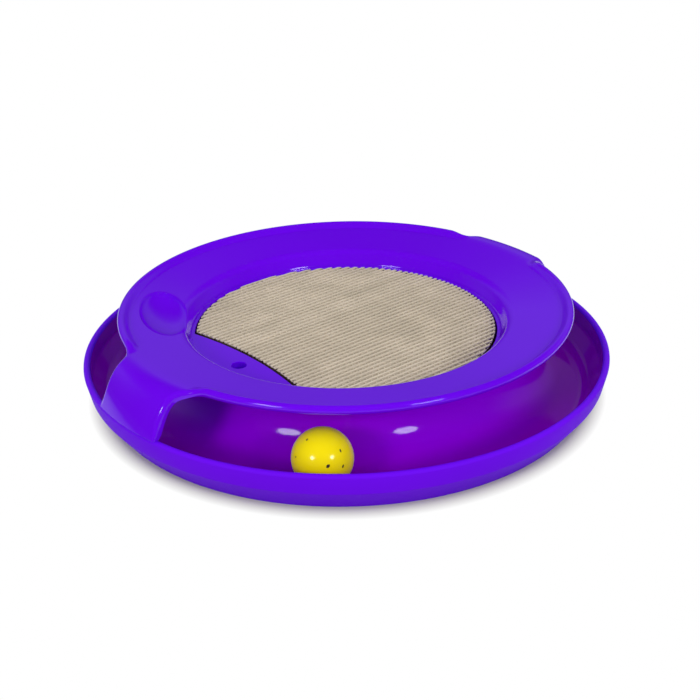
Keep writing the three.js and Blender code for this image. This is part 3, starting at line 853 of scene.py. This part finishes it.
    def scoop_rim(self, turns):
        """Share at which the scoop's hollow comes out of the deck's top, for directions round its middle."""
        low, high = (np.full(len(turns), share) for share in SCOOP_SEARCH)
        for _ in range(HALVINGS):
            middle = (low + high) / 2
            plan = self.scoop_plan(middle, turns)
            inside = self.scoop_cut(plan) < self.plain_top(from_axis(plan))
            low, high = np.where(inside, middle, low), np.where(inside, high, middle)
        return low

    def clear_of_scoop(self, plan):
        """Places that lie well outside the scoop's rim."""
        share, turn = self.scoop_place(plan)
        rim = np.interp(turn, self.rim_turns, self.rim_shares, period=2 * pi)
        return plan[share / rim > SCOOP_CLEARANCE]

    def well_gap(self, plan):
        """Distance outside the well's wall."""
        size = self.size
        bitten = size.bite_radius - np.hypot(plan[:, 0] + size.bite_centre, plan[:, 1])
        return np.maximum(from_axis(plan) - size.well_radius, bitten)

    def socket_gap(self, plan):
        """Distance from the socket's middle."""
        return np.hypot(plan[:, 0] + self.size.socket_x, plan[:, 1])

    def top(self, plan):
        """Height of the top at places in plan."""
        size = self.size
        radius = from_axis(plan)
        gap = np.maximum(self.edge_gap(plan), 0)
        at_well = np.clip(self.well_gap(plan), 0, SHELF_CORNER)
        height = self.plain_top(radius) - SHELF_CORNER + np.sqrt(SHELF_CORNER**2 - (SHELF_CORNER - at_well) ** 2)
        lip = np.where(gap < size.lip_blend, self.bead_top(gap, radius), self.ring(radius))
        arm = self.arm_top(radius)
        level = np.interp(radius, self.arm_line[:, 0], self.arm_level)
        depth = np.maximum(arm - self.arm_under(radius, size.arm_flange), 0)
        inside = np.clip(gap, 0, size.arm_edge)
        fall = 1 - np.sqrt(1 - (1 - inside / size.arm_edge) ** 2)
        arm = arm - fall * np.minimum(size.arm_edge / level, EDGE_SHARE * depth)
        share = self.bead_share(plan)
        height = np.where(radius > size.arm_root, share * lip + (1 - share) * arm, height)
        return soft_lower(height, self.scoop_cut(plan), size.scoop_round)

    def under(self, plan):
        """Height of the underside at places in plan."""
        size = self.size
        radius = from_axis(plan)
        gap = np.maximum(self.edge_gap(plan), 0)
        level = size.wall * sqrt(1 + self.slope**2)
        inner = size.shoulder_radius - size.wall
        bend = self.shoulder - inner * self.slope / sqrt(1 + self.slope**2)
        foot = self.shoulder - inner * sin(size.dish_slope)
        foot_height = self.shoulder_height + inner * cos(size.dish_slope)
        seat = size.step_radius + size.seat_width
        height = np.where(radius < bend, self.shoulder_curve(radius, size.wall), self.ring(radius) - level)
        height = np.where(radius < foot, np.interp(radius, (seat, foot), (size.seat, foot_height)), height)
        lip = size.lip_radius
        curl_top = self.lip_height - EDGE_DROP
        curl = curl_top - np.sqrt(np.maximum(lip**2 - (lip - np.clip(gap, 0, lip / 2)) ** 2, 0))
        curl_end = curl_top - lip * sqrt(0.75)
        across = np.clip((gap - lip / 2) / (size.lip_width - lip / 2), 0, 1)
        straight = curl_end + across * (self.ring(self.ring_outer) - level - curl_end)
        ring = np.where(gap < size.lip_width, np.where(gap < lip / 2, curl, straight), self.ring(radius) - level)
        flange = self.arm_under(radius, size.arm_flange)
        arm = np.where(gap < size.wall, flange, self.arm_under(radius, size.wall)) - EDGE_DROP
        share = self.bead_share(plan)
        height = np.where(radius > size.arm_root, share * ring + (1 - share) * arm, height)
        near, _ = self.scoop_place(plan, size.wall)
        hang = (size.scoop_depth + size.wall) * np.sqrt(np.clip(1 - near**2, 0, 1))
        return np.where(near < 1, np.minimum(height, self.scoop_plane(plan) - hang), height)


def deck_outline(form):
    """Points round the deck's edge, their outward directions, and which of them lie on the arms' tips."""
    size = form.size
    tip_turn = asin(size.arm_half_width / size.arm_tip_radius)
    quarter = []
    for turn in np.linspace(0, tip_turn, TIP_STEPS)[:-1]:
        quarter.append((size.arm_tip_radius, turn, cos(turn), sin(turn), True))
    corner_x = size.arm_tip_radius * cos(tip_turn)
    for x in np.linspace(corner_x, form.fillet_x, SIDE_STEPS)[:-1]:
        quarter.append((np.hypot(x, size.arm_half_width), atan2(size.arm_half_width, x), 0.0, 1.0, x == corner_x))
    for turn in np.linspace(1.5 * pi, pi + form.root_angle, FILLET_STEPS)[:-1]:
        x = form.fillet_x + size.arm_fillet * cos(turn)
        y = form.fillet_y + size.arm_fillet * sin(turn)
        quarter.append((np.hypot(x, y), atan2(y, x), -cos(turn), -sin(turn), False))
    for turn in np.linspace(form.root_angle, pi / 2, RIM_STEPS):
        quarter.append((form.outer, turn, cos(turn), sin(turn), False))
    quarter = np.array(quarter, float)
    place, outward, tip = polar(quarter[:, 0], quarter[:, 1]), quarter[:, 2:4], quarter[:, 4] > 0
    there, back = slice(None), slice(-2, 0, -1)
    sides = [((1, 1), there), ((-1, 1), back), ((-1, -1), there), ((1, -1), back)]
    places = np.concatenate([place[part] * sign for sign, part in sides])
    outwards = np.concatenate([outward[part] * sign for sign, part in sides])
    return places, outwards, np.concatenate([tip[part] for _, part in sides])


def well_outline(form, margin):
    """Points round the pad's well, grown by a margin: the round wall and the finger bite's wall."""
    size = form.size
    radius, bite, far = size.well_radius + margin, size.bite_radius - margin, size.bite_centre
    corner_x = (bite**2 - radius**2 - far**2) / (2 * far)
    corner_y = sqrt(radius**2 - corner_x**2)
    corner_turn = pi - atan2(corner_y, -corner_x)
    bite_turn = atan2(corner_y, corner_x + far)
    round_wall = polar(radius, np.linspace(-corner_turn, corner_turn, WELL_STEPS))
    bite_wall = polar(bite, np.linspace(bite_turn, -bite_turn, BITE_STEPS)[1:-1]) - (far, 0)
    return np.concatenate((round_wall, bite_wall))


def socket_circle(form, radius):
    """Points of a circle round the socket."""
    return polar(radius, np.linspace(0, 2 * pi, SOCKET_SIDES, endpoint=False)) - (form.size.socket_x, 0)


def ring_points(radii, count):
    """Points on rings about the middle, every other ring turned by half a step."""
    turns = np.linspace(0, 2 * pi, count, endpoint=False)
    return np.concatenate([polar(radius, pi / count * (i % 2) + turns) for i, radius in enumerate(radii)])


def plan_triangles(loops, loose, inside):
    """Triangles of a plan between closed loops, with loose points inside. Returns the points and the faces."""
    points = np.concatenate([*loops, loose])
    edges, start = [], 0
    for loop in loops:
        count = len(loop)
        edges += [(start + i, start + (i + 1) % count) for i in range(count)]
        start += count
    made = delaunay_2d_cdt([Vector(p) for p in points], edges, [], 0, 1e-8)
    places = np.array([tuple(v) for v in made[0]])
    if len(places) != len(points) or any(v != [i] for i, v in enumerate(made[3])):
        raise RuntimeError("The deck's plan has points that coincide or loops that cross")
    faces = np.array(made[2])
    faces = faces[inside(places[faces].mean(1))]
    a, b, c = places[faces[:, 0]], places[faces[:, 1]], places[faces[:, 2]]
    turned = (b[:, 0] - a[:, 0]) * (c[:, 1] - a[:, 1]) - (b[:, 1] - a[:, 1]) * (c[:, 0] - a[:, 0]) < 0
    faces[turned] = faces[turned][:, ::-1]
    return points, faces


def far_enough(points, others, gap):
    """Points that keep a distance from the other ones."""
    kept = np.ones(len(points), bool)
    for start in range(0, len(points), CHUNK):
        part = slice(start, start + CHUNK)
        nearest = np.min(np.sum((points[part, None] - others) ** 2, 2), 1)
        kept[part] = nearest > gap**2
    return points[kept]


def top_points(form, rows):
    """Points inside the top skin's loops: close together where it bends and wide apart elsewhere."""
    size = form.size
    bends = form.shoulder - size.shoulder_radius * np.sin(np.linspace(size.dish_slope, form.slope, 11))
    step = ring_points(np.append(size.step_radius + STEP_ROWS, bends), WALL_TURN)
    core = [*rows, *(well_outline(form, gap) for gap in SHELF_ROWS)]
    core += [socket_circle(form, size.socket_radius + 2 * MM), form.clear_of_scoop(step)]
    core = np.concatenate(core)
    scoop = [form.scoop_plan(np.zeros(1), np.zeros(1))]
    for i, share in enumerate(SCOOP_ROWS):
        part = slice(i % 2, None, 2 if share > 0.7 else 4 if share > 0.3 else 12)
        scoop.append(form.scoop_plan(share * form.rim_shares[part], form.rim_turns[part]))
    scoop = np.concatenate(scoop)
    scoop = scoop[from_axis(scoop) > size.step_radius + 1.0 * MM]
    core = np.concatenate((core, far_enough(scoop, core, gap=0.25 * MM)))
    ring = np.append(form.ring_inner + RING_ROWS, np.arange(form.ring_inner + 4 * MM, size.arm_root, 3.2 * MM))
    arms = ring_points(np.append(form.arm_radii, size.arm_root + 1.7 * MM), ARM_TURN)
    field = np.concatenate((form.clear_of_scoop(ring_points(ring, RING_TURN)), arms))
    field = field[form.edge_gap(field) > EDGE_ROWS[-1] + 0.6 * MM]
    field = field[from_axis(field) < size.arm_tip_radius - 0.8 * MM]
    crescent = np.array([(x * MM, y * MM) for x in range(-108, -80, 5) for y in range(-56, 57, 6)])
    crescent = crescent[form.well_gap(crescent) > 2 * MM]
    crescent = crescent[from_axis(crescent) < size.step_radius - 2 * MM]
    crescent = crescent[form.socket_gap(crescent) >= size.socket_radius + 4 * MM]
    crescent = far_enough(crescent, core, gap=1.5 * MM)
    return np.concatenate((core, crescent, far_enough(field, core, gap=1.0 * MM)))


def under_points(form, rows):
    """Points inside the underside's loops."""
    size = form.size
    seat = size.step_radius + size.seat_width
    bends = np.sin(np.linspace(size.dish_slope, form.slope, 6))
    bends = form.shoulder - (size.shoulder_radius - size.wall) * bends
    radii = np.append(np.arange(form.shoulder, size.arm_root, 4.5 * MM), form.arm_radii[::2])
    seats = ring_points([seat - 0.05 * MM, seat + 0.05 * MM], UNDER_TURN)
    core = np.concatenate((*rows, seats, ring_points(bends, UNDER_TURN)))
    field = ring_points(radii, UNDER_TURN)
    field = field[form.edge_gap(field) > 10 * MM]
    field = field[from_axis(field) < size.arm_tip_radius - 1.2 * MM]
    return np.concatenate((core, far_enough(field, core, gap=1.5 * MM)))


def deck_mesh(size):
    """Closed mesh of the deck: top skin with the well and socket, edge walls, and underside."""
    form = DeckForm(size)
    outline, outward, tips = deck_outline(form)
    vertices, faces = [], []

    def inset(gaps):
        return [outline[~tips] - outward[~tips] * gap for gap in gaps]

    def put(points, heights):
        first = sum(len(v) for v in vertices)
        vertices.append(np.column_stack((points, np.broadcast_to(heights, len(points)))))
        return first

    def wall(upper, lower, count):
        for i in range(count):
            j = (i + 1) % count
            faces.append((upper + i, lower + i, lower + j, upper + j))

    def cap(loop, count, x, height, step=1):
        middle = put(np.array([[x, 0.0]]), height)
        for i in range(count):
            faces.append((*(loop + i, loop + (i + 1) % count)[::step], middle))

    def skin(margin, hole, loose, heights, step):
        loops = [outline, well_outline(form, margin), socket_circle(form, hole)]
        reach = hole * cos(pi / SOCKET_SIDES) - 1e-6

        def inside(p):
            on_deck = (form.edge_gap(p) > 0) & (from_axis(p) < size.arm_tip_radius)
            return on_deck & (form.well_gap(p) > margin) & (form.socket_gap(p) >= reach)

        loose = far_enough(loose, np.concatenate(loops), gap=0.05 * MM)
        plan, triangles = plan_triangles(loops, loose, inside)
        first = put(plan, heights(plan))
        faces.extend(tuple(first + k for k in f[::step]) for f in triangles.tolist())
        return loops[1], loops[2], first, first + len(outline), first + len(outline) + len(loops[1])

    top = top_points(form, inset(EDGE_ROWS))
    well, _, outline_top, well_top, socket_top = skin(0, size.socket_radius + SOCKET_CORNER, top, form.top, 1)
    top_faces = len(faces)
    well_low = put(well, size.well_floor + WELL_CORNER)
    wall(well_top, well_low, len(well))
    floor_edge = put(well * (1 - WELL_CORNER / size.well_radius), size.well_floor)
    wall(well_low, floor_edge, len(well))
    cap(floor_edge, len(well), 0.0, size.well_floor)
    socket = socket_circle(form, size.socket_radius)
    socket_floor = size.shelf - size.socket_depth
    socket_high = put(socket, size.shelf - SOCKET_CORNER)
    wall(socket_top, socket_high, SOCKET_SIDES)
    socket_low = put(socket, socket_floor)
    wall(socket_high, socket_low, SOCKET_SIDES)
    cap(socket_low, SOCKET_SIDES, -size.socket_x, socket_floor)

    under = under_points(form, inset(UNDER_ROWS))
    hole = size.socket_radius + size.wall
    tub, boss, outline_low, tub_top, boss_top = skin(size.wall, hole, under, form.under, -1)
    wall(outline_top, outline_low, len(outline))
    bottoms = ((tub, tub_top, 0.0, size.well_floor), (boss, boss_top, -size.socket_x, socket_floor))
    for loop, loop_top, x, floor in bottoms:
        low = put(loop, floor - size.wall)
        wall(low, loop_top, len(loop))
        cap(low, len(loop), x, floor - size.wall, -1)

    mesh = bpy.data.meshes.new("deck")
    mesh.from_pydata(np.concatenate(vertices).tolist(), [], faces)
    if mesh.validate():
        raise RuntimeError("The deck's mesh has faces that don't hold")
    smooth_by_angle(mesh, degrees=38)
    set_top_normals(mesh, form, 3 * top_faces)
    return mesh


def set_top_normals(mesh, form, corners):
    """Gives the corners of the deck's top skin the normals of its true form."""
    used = np.zeros(len(mesh.loops), int)
    mesh.loops.foreach_get("vertex_index", used)
    places = np.zeros(len(mesh.vertices) * 3)
    mesh.vertices.foreach_get("co", places)
    plan = places.reshape(-1, 3)[used[:corners], :2]
    reach = 0.02 * MM
    normals = np.zeros((len(mesh.loops), 3))
    for axis, step in enumerate(reach * np.eye(2)):
        normals[:corners, axis] = form.top(plan - step) - form.top(plan + step)
    normals[:corners, 2] = 2 * reach
    normals[:corners] /= np.linalg.norm(normals[:corners], axis=1)[:, None]
    mesh.normals_split_custom_set([tuple(n) for n in normals])


# Scratch pad and ball


def strip_group():
    """Node group for one strip of corrugated board on edge: two liners and the waved paper between them."""
    outline = ["Radius", "Bite Centre", "Bite Radius", "Middle", "Bottom", "Height"]
    board = ["Board", "Liner", "Medium", "Sunk", "Flute", "Phase"]
    nodes = Group("Corrugated strip", Float=outline + board)
    given, maths = nodes.given, nodes.maths
    rise = maths("ADD", given["Bottom"], maths("MULTIPLY", given["Height"], 0.5))
    half = maths("MULTIPLY", maths("SUBTRACT", given["Board"], given["Liner"]), 0.5)
    sheets = nodes.add("GeometryNodeJoinGeometry")

    def half_chord(radius, y):
        return maths("SQRT", maths("SUBTRACT", maths("MULTIPLY", radius, radius), maths("MULTIPLY", y, y)))

    def ends(y):
        rim = half_chord(given["Radius"], y)
        bite = maths("SUBTRACT", half_chord(given["Bite Radius"], y), given["Bite Centre"])
        return maths("MAXIMUM", maths("MULTIPLY", rim, -1.0), bite), rim

    def cut_to_outline(mesh, y):
        place = nodes.parts(nodes.position())
        first, last = ends(y)
        start_here, end_here = ends(place["Y"])
        share = maths("DIVIDE", maths("SUBTRACT", place["X"], first), maths("SUBTRACT", last, first))
        x = maths("ADD", start_here, maths("MULTIPLY", share, maths("SUBTRACT", end_here, start_here)))
        return nodes.moved(mesh, Position=nodes.vector(x, place["Y"], place["Z"]))

    def sheet(curve, thickness, height, y):
        profile = nodes.add("GeometryNodeCurvePrimitiveQuadrilateral", Width=thickness, Height=height).outputs[0]
        upright = nodes.add("GeometryNodeSetCurveNormal", mode="Z_UP", Curve=curve).outputs[0]
        swept = nodes.add("GeometryNodeCurveToMesh", Curve=upright, Profile_Curve=profile, Fill_Caps=True)
        nodes.feed(sheets.inputs[0], cut_to_outline(swept.outputs[0], y))

    def line(y):
        start, end = (nodes.vector(x, y, rise) for x in ends(y))
        return nodes.add("GeometryNodeCurvePrimitiveLine", Start=start, End=end).outputs[0]

    for side in ("SUBTRACT", "ADD"):
        y = maths(side, given["Middle"], half)
        sheet(line(y), given["Liner"], given["Height"], y)
    fine = nodes.add("GeometryNodeResampleCurve", mode="LENGTH", Curve=line(given["Middle"]), Length=0.6 * MM)
    turn = maths("DIVIDE", maths("ADD", nodes.parts(nodes.position())["X"], given["Phase"]), given["Flute"])
    wave = maths("SINE", maths("MULTIPLY", turn, 2 * pi))
    swing = maths("SUBTRACT", half, maths("MULTIPLY", maths("ADD", given["Liner"], given["Medium"]), 0.5))
    offset = nodes.vector(0.0, maths("MULTIPLY", wave, swing), maths("MULTIPLY", given["Sunk"], -0.5))
    waved = nodes.moved(fine.outputs[0], Offset=offset)
    sheet(waved, given["Medium"], maths("SUBTRACT", given["Height"], given["Sunk"]), given["Middle"])
    return nodes.finish(sheets.outputs[0])


def fleck_group():
    """Node group that sets small flat flecks on points, each turned and sized by the point's own values."""
    nodes = Group("Ball flecks", Vector=["Centre"])

    def own(name, kind):
        return nodes.add("GeometryNodeInputNamedAttribute", data_type=kind, Name=name).outputs["Attribute"]

    outward = nodes.vector_maths("SUBTRACT", nodes.position(), nodes.given["Centre"])
    upright = nodes.add("FunctionNodeAlignRotationToVector", axis="Z", Vector=outward).outputs[0]
    euler = nodes.add("FunctionNodeEulerToRotation", nodes.vector(0.0, 0.0, own("turn", "FLOAT"))).outputs[0]
    turned = nodes.add("FunctionNodeRotateRotation", upright, euler, rotation_space="LOCAL").outputs[0]
    blob = nodes.add("GeometryNodeMeshIcoSphere", Radius=0.5, Subdivisions=3).outputs["Mesh"]
    shake = nodes.add("ShaderNodeTexNoise", Scale=3.0).outputs[0]
    push = nodes.maths("MULTIPLY", nodes.maths("SUBTRACT", shake, 0.5), 0.9)
    along = nodes.add("ShaderNodeVectorMath", nodes.position(), operation="SCALE", Scale=push).outputs[0]
    uneven = nodes.moved(blob, Offset=along)
    spots = nodes.add(
        "GeometryNodeInstanceOnPoints",
        Points=nodes.given["Geometry"], Instance=uneven, Rotation=turned, Scale=own("size", "FLOAT_VECTOR"),
    )
    return nodes.finish(spots.outputs[0])


# Operators


class MakeTray(bpy.types.Operator):
    """Turns the base tray's skin and sets it in place of its solid"""

    bl_idname = "cat_toy.make_tray"
    bl_label = "Make base tray"

    def execute(self, context):
        size = context.scene.toy_tray
        colours = context.scene.toy_finish
        neck = size.ledge_inner + size.ledge_width
        track = neck + size.cove_radius
        # Painted light and shade: the lighter pedestal purple gives way to the darker track purple across the cove,
        # where the deck shades the track.
        outer = (colours.track, neck + size.cove_radius / 4, track)
        inside = gloss_plastic("Tray plastic inside", colours.pedestal, smooth=0.07, dull=0.14, shine=0.2, outer=outer)
        outside = gloss_plastic("Tray plastic outside", colours.tray, smooth=0.55, dull=0.62, shine=0.05)
        tray = turned_piece("tray_moulding", tray_profile(size), size.sides, inside)
        paint_outside(tray.data, track, size.rim_height - size.rim_round, outside)
        dress(tray, "tray", ["base_tray"])
        return {"FINISHED"}


class MakeDeck(bpy.types.Operator):
    """Builds the top deck's skin and sets it in place of its solid"""

    bl_idname = "cat_toy.make_deck"
    bl_label = "Make top deck"

    def execute(self, context):
        deck = add_object("deck_moulding", deck_mesh(context.scene.toy_deck))
        finish = gloss_plastic("Deck plastic", context.scene.toy_finish.deck, smooth=0.07, dull=0.14, shine=0.3)
        deck.data.materials.append(finish)
        dress(deck, "deck", ["top_deck"])
        return {"FINISHED"}


class MakePad(bpy.types.Operator):
    """Makes the pad's strips of corrugated board, one in place of each solid strip"""

    bl_idname = "cat_toy.make_pad"
    bl_label = "Make scratch pad"

    def execute(self, context):
        size = context.scene.toy_pad
        colours = context.scene.toy_finish
        group = strip_group()
        draw = np.random.default_rng(size.seed)
        same = ("radius", "bite_centre", "bite_radius", "bottom", "liner", "medium", "sunk", "flute")
        values = {key.replace("_", " ").title(): getattr(size, key) for key in same}
        values["Board"] = size.pitch - size.glue_line
        values["Material"] = cardboard("Corrugated board", colours.card, colours.pad_gap_shade_tint, size)
        for i, node in enumerate(STRIP_NODES):
            values["Middle"] = (i - (len(STRIP_NODES) - 1) / 2) * size.pitch
            values["Height"] = size.thickness - size.ragged * float(draw.random())
            values["Phase"] = size.flute * float(draw.random())
            name = node.replace("pad_", "board_")
            strip = grown(name, points_mesh(name + "_start", []), group, values)
            face_outward(strip.data)
            smooth_by_angle(strip.data, degrees=40)
            dress(strip, "pad", [node])
        return {"FINISHED"}


class MakeBall(bpy.types.Operator):
    """Turns the ball's two halves and sets dark flecks on them"""

    bl_idname = "cat_toy.make_ball"
    bl_label = "Make ball"

    def execute(self, context):
        size = context.scene.toy_ball
        finish = gloss_plastic("Ball plastic", context.scene.toy_finish.ball, smooth=0.14, dull=0.24, shine=0.4)
        seam = size.seam / 2
        inner = size.radius - size.wall
        for name, up in (("upper", 1), ("lower", -1)):
            outside = np.linspace(asin(seam / size.radius), pi / 2, OUTSIDE_STEPS)[:-1]
            inside = np.linspace(pi / 2, asin(seam / inner), INSIDE_STEPS)[1:]
            profile = [(size.radius * cos(t), up * size.radius * sin(t)) for t in outside]
            profile += [(0.0, up * size.radius), (0.0, up * inner)]
            profile += [(inner * cos(t), up * inner * sin(t)) for t in inside]
            profile.append(profile[0])
            half = turned_piece(f"ball_{name}_shell", profile, size.sides, finish, size.centre)
            dress(half, "ball", [f"ball_{name}_half"])
        self.add_flecks(context, size)
        return {"FINISHED"}

    def add_flecks(self, context, size):
        """Scatters the flecks, none too close to another."""
        draw = np.random.default_rng(size.seed)
        places = [Vector(f[0]).normalized() for f in FLECKS_IN_VIEW]
        sizes = [(f[1] * MM, f[2] * MM, size.fleck_height) for f in FLECKS_IN_VIEW]
        turns = [radians(f[3]) for f in FLECKS_IN_VIEW]
        while len(places) < size.flecks:
            place = Vector(draw.normal(size=3)).normalized()
            clear_of_view = place.dot(VIEW_SIDE) < FLECK_LIMIT
            if clear_of_view and all(place.angle(p) > FLECK_SPACING for p in places):
                places.append(place)
                wide = size.fleck * draw.uniform(*FLECK_LENGTHS)
                sizes.append((wide, wide * draw.uniform(*FLECK_SHAPES), size.fleck_height))
                turns.append(draw.uniform(0, 2 * pi))
        start = points_mesh("fleck_places", [Vector(size.centre) + p * size.radius for p in places])
        start.attributes.new("size", "FLOAT_VECTOR", "POINT").data.foreach_set("vector", np.ravel(sizes))
        start.attributes.new("turn", "FLOAT", "POINT").data.foreach_set("value", turns)
        finish = paint_fleck("Fleck", context.scene.toy_finish.fleck)
        flecks = grown("ball_flecks", start, fleck_group(), {"Centre": size.centre, "Material": finish})
        smooth_by_angle(flecks.data, degrees=60)
        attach(flecks, "ball")


class FinishRattle(bpy.types.Operator):
    """Gives the loose bead in the ball its finish"""

    bl_idname = "cat_toy.finish_rattle"
    bl_label = "Finish rattle bead"

    def execute(self, context):
        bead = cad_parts["ball_rattle"]
        bead.data.materials.clear()
        finish = gloss_plastic("Rattle plastic", context.scene.toy_finish.rattle, smooth=0.4, dull=0.55, shine=0.5)
        bead.data.materials.append(finish)
        return {"FINISHED"}


class SetStage(bpy.types.Operator):
    """Sets the floor, the light and the camera"""

    bl_idname = "cat_toy.set_stage"
    bl_label = "Set stage"

    def execute(self, context):
        scene = context.scene
        scene.view_settings.view_transform = "Standard"
        self.set_camera(scene)
        self.set_floor(scene)
        self.set_world(scene)
        stage = scene.toy_stage
        for name, place in (("Lamp left", stage.left_lamp), ("Lamp right", stage.right_lamp)):
            self.add_lamp(stage, name, Vector(place))
        return {"FINISHED"}

    def set_camera(self, scene):
        """Camera at the photograph's viewing angle."""
        stage = scene.toy_stage
        camera = add_object("Camera", bpy.data.cameras.new("Camera"))
        scene.camera = camera
        flat = cos(stage.elevation)
        back = Vector((sin(stage.azimuth) * flat, -cos(stage.azimuth) * flat, sin(stage.elevation)))
        camera.location = Vector((0, 0, stage.target)) + back * stage.distance
        camera.rotation_mode = "QUATERNION"
        camera.rotation_quaternion = (-back).to_track_quat("-Z", "Y") @ Quaternion((0, 0, 1), stage.roll)
        lens = camera.data
        lens.sensor_width, lens.lens = 36, stage.lens
        lens.shift_x, lens.shift_y = stage.shift_x, stage.shift_y
        lens.clip_start, lens.clip_end = 0.05, 100

    def set_floor(self, scene):
        """Pale floor that keeps the toy's shadow, shows white beyond it, and dims with distance in shiny surfaces."""
        mesh = bpy.data.meshes.new("floor")
        floor = add_object("floor", mesh)
        corners = ((-1, -1, 0), (1, -1, 0), (1, 1, 0), (-1, 1, 0))
        mesh.from_pydata([Vector(c) * FLOOR_REACH for c in corners], [], [(0, 1, 2, 3)])
        nodes = Finish("Pale floor")
        mesh.materials.append(nodes.surface((*scene.toy_finish.floor, 1.0), 0.9, shine=0.0))
        far = nodes.vector_maths("LENGTH", nodes.place())
        strength = nodes.maths("MAXIMUM", nodes.ramp(far, *TABLE_FADE), nodes.rays("Is Camera Ray"))
        glow = nodes.add("ShaderNodeEmission", Strength=strength)
        nodes.end_in_mix("Material Output", nodes.shader, glow, nodes.ramp(far, *SHADOW_END))

    def set_world(self, scene):
        """Even fill from all round, a white background, and the dim studio wall that shiny surfaces show."""
        stage = scene.toy_stage
        world = bpy.data.worlds.new("Studio")
        world.use_nodes = True
        scene.world = world
        nodes = Nodes(world.node_tree)
        light = nodes.tree.nodes["Background"]
        nodes.feed(light.inputs["Color"], WHITE)
        nodes.feed(light.inputs["Strength"], stage.fill)
        direction = nodes.add("ShaderNodeTexCoord").outputs["Generated"]
        studio = nodes.add("ShaderNodeValToRGB", nodes.parts(direction)["Z"])
        stops = studio.color_ramp.elements
        stops.remove(stops[1])
        for height, level in STUDIO:
            stop = stops.new(height) if height else stops[0]
            stop.color = (level, level, level, 1)
        facing = nodes.vector_maths("DOT_PRODUCT", direction, (-sin(stage.azimuth), cos(stage.azimuth), 0))
        wall = nodes.maths("MULTIPLY", studio.outputs["Color"], nodes.ramp(facing, *WALL_SPREAD))
        strength = nodes.maths("MAXIMUM", wall, nodes.rays("Is Camera Ray"))
        shown = nodes.add("ShaderNodeBackground", WHITE, strength)
        nodes.end_in_mix("World Output", light, shown)

    def add_lamp(self, stage, name, place):
        """Soft oval lamp turned to the toy."""
        light = bpy.data.lights.new(name, "AREA")
        light.shape = "ELLIPSE"
        light.size, light.size_y, light.energy = stage.lamp_width, stage.lamp_height, stage.lamp_power
        thing = add_object(name, light)
        thing.location = place
        thing.rotation_euler = (-place).to_track_quat("-Z", "Y").to_euler()


class ToyPanel(bpy.types.Panel):
    """Sizes, colours and steps of the toy"""

    bl_idname = "VIEW3D_PT_cat_toy"
    bl_label = "Cat ball track"
    bl_space_type = "VIEW_3D"
    bl_region_type = "UI"
    bl_category = "Cat Toy"

    def draw(self, context):
        for step in STEPS:
            self.layout.operator(step.bl_idname)
        for attribute, group in PROPERTY_GROUPS.items():
            box = self.layout.box()
            box.label(text=group.__doc__)
            for key in group.__annotations__:
                box.prop(getattr(context.scene, attribute), key)


STEPS = (SetStage, MakeTray, MakeDeck, MakePad, MakeBall, FinishRattle)
CLASSES = (*PROPERTY_GROUPS.values(), *STEPS, ToyPanel)


def register():
    """Adds the classes and the scene's settings."""
    for cls in CLASSES:
        bpy.utils.register_class(cls)
    for attribute, group in PROPERTY_GROUPS.items():
        setattr(bpy.types.Scene, attribute, PointerProperty(type=group))


def unregister():
    """Takes the scene's settings and the classes away."""
    for attribute in PROPERTY_GROUPS:
        delattr(bpy.types.Scene, attribute)
    for cls in reversed(CLASSES):
        bpy.utils.unregister_class(cls)


def main():
    """Adds the settings, then builds the toy and its stage."""
    register()
    bpy.ops.cat_toy.set_stage()
    bpy.ops.cat_toy.make_tray()
    bpy.ops.cat_toy.make_deck()
    bpy.ops.cat_toy.make_pad()
    bpy.ops.cat_toy.make_ball()
    bpy.ops.cat_toy.finish_rattle()


if __name__ == "__main__":
    main()
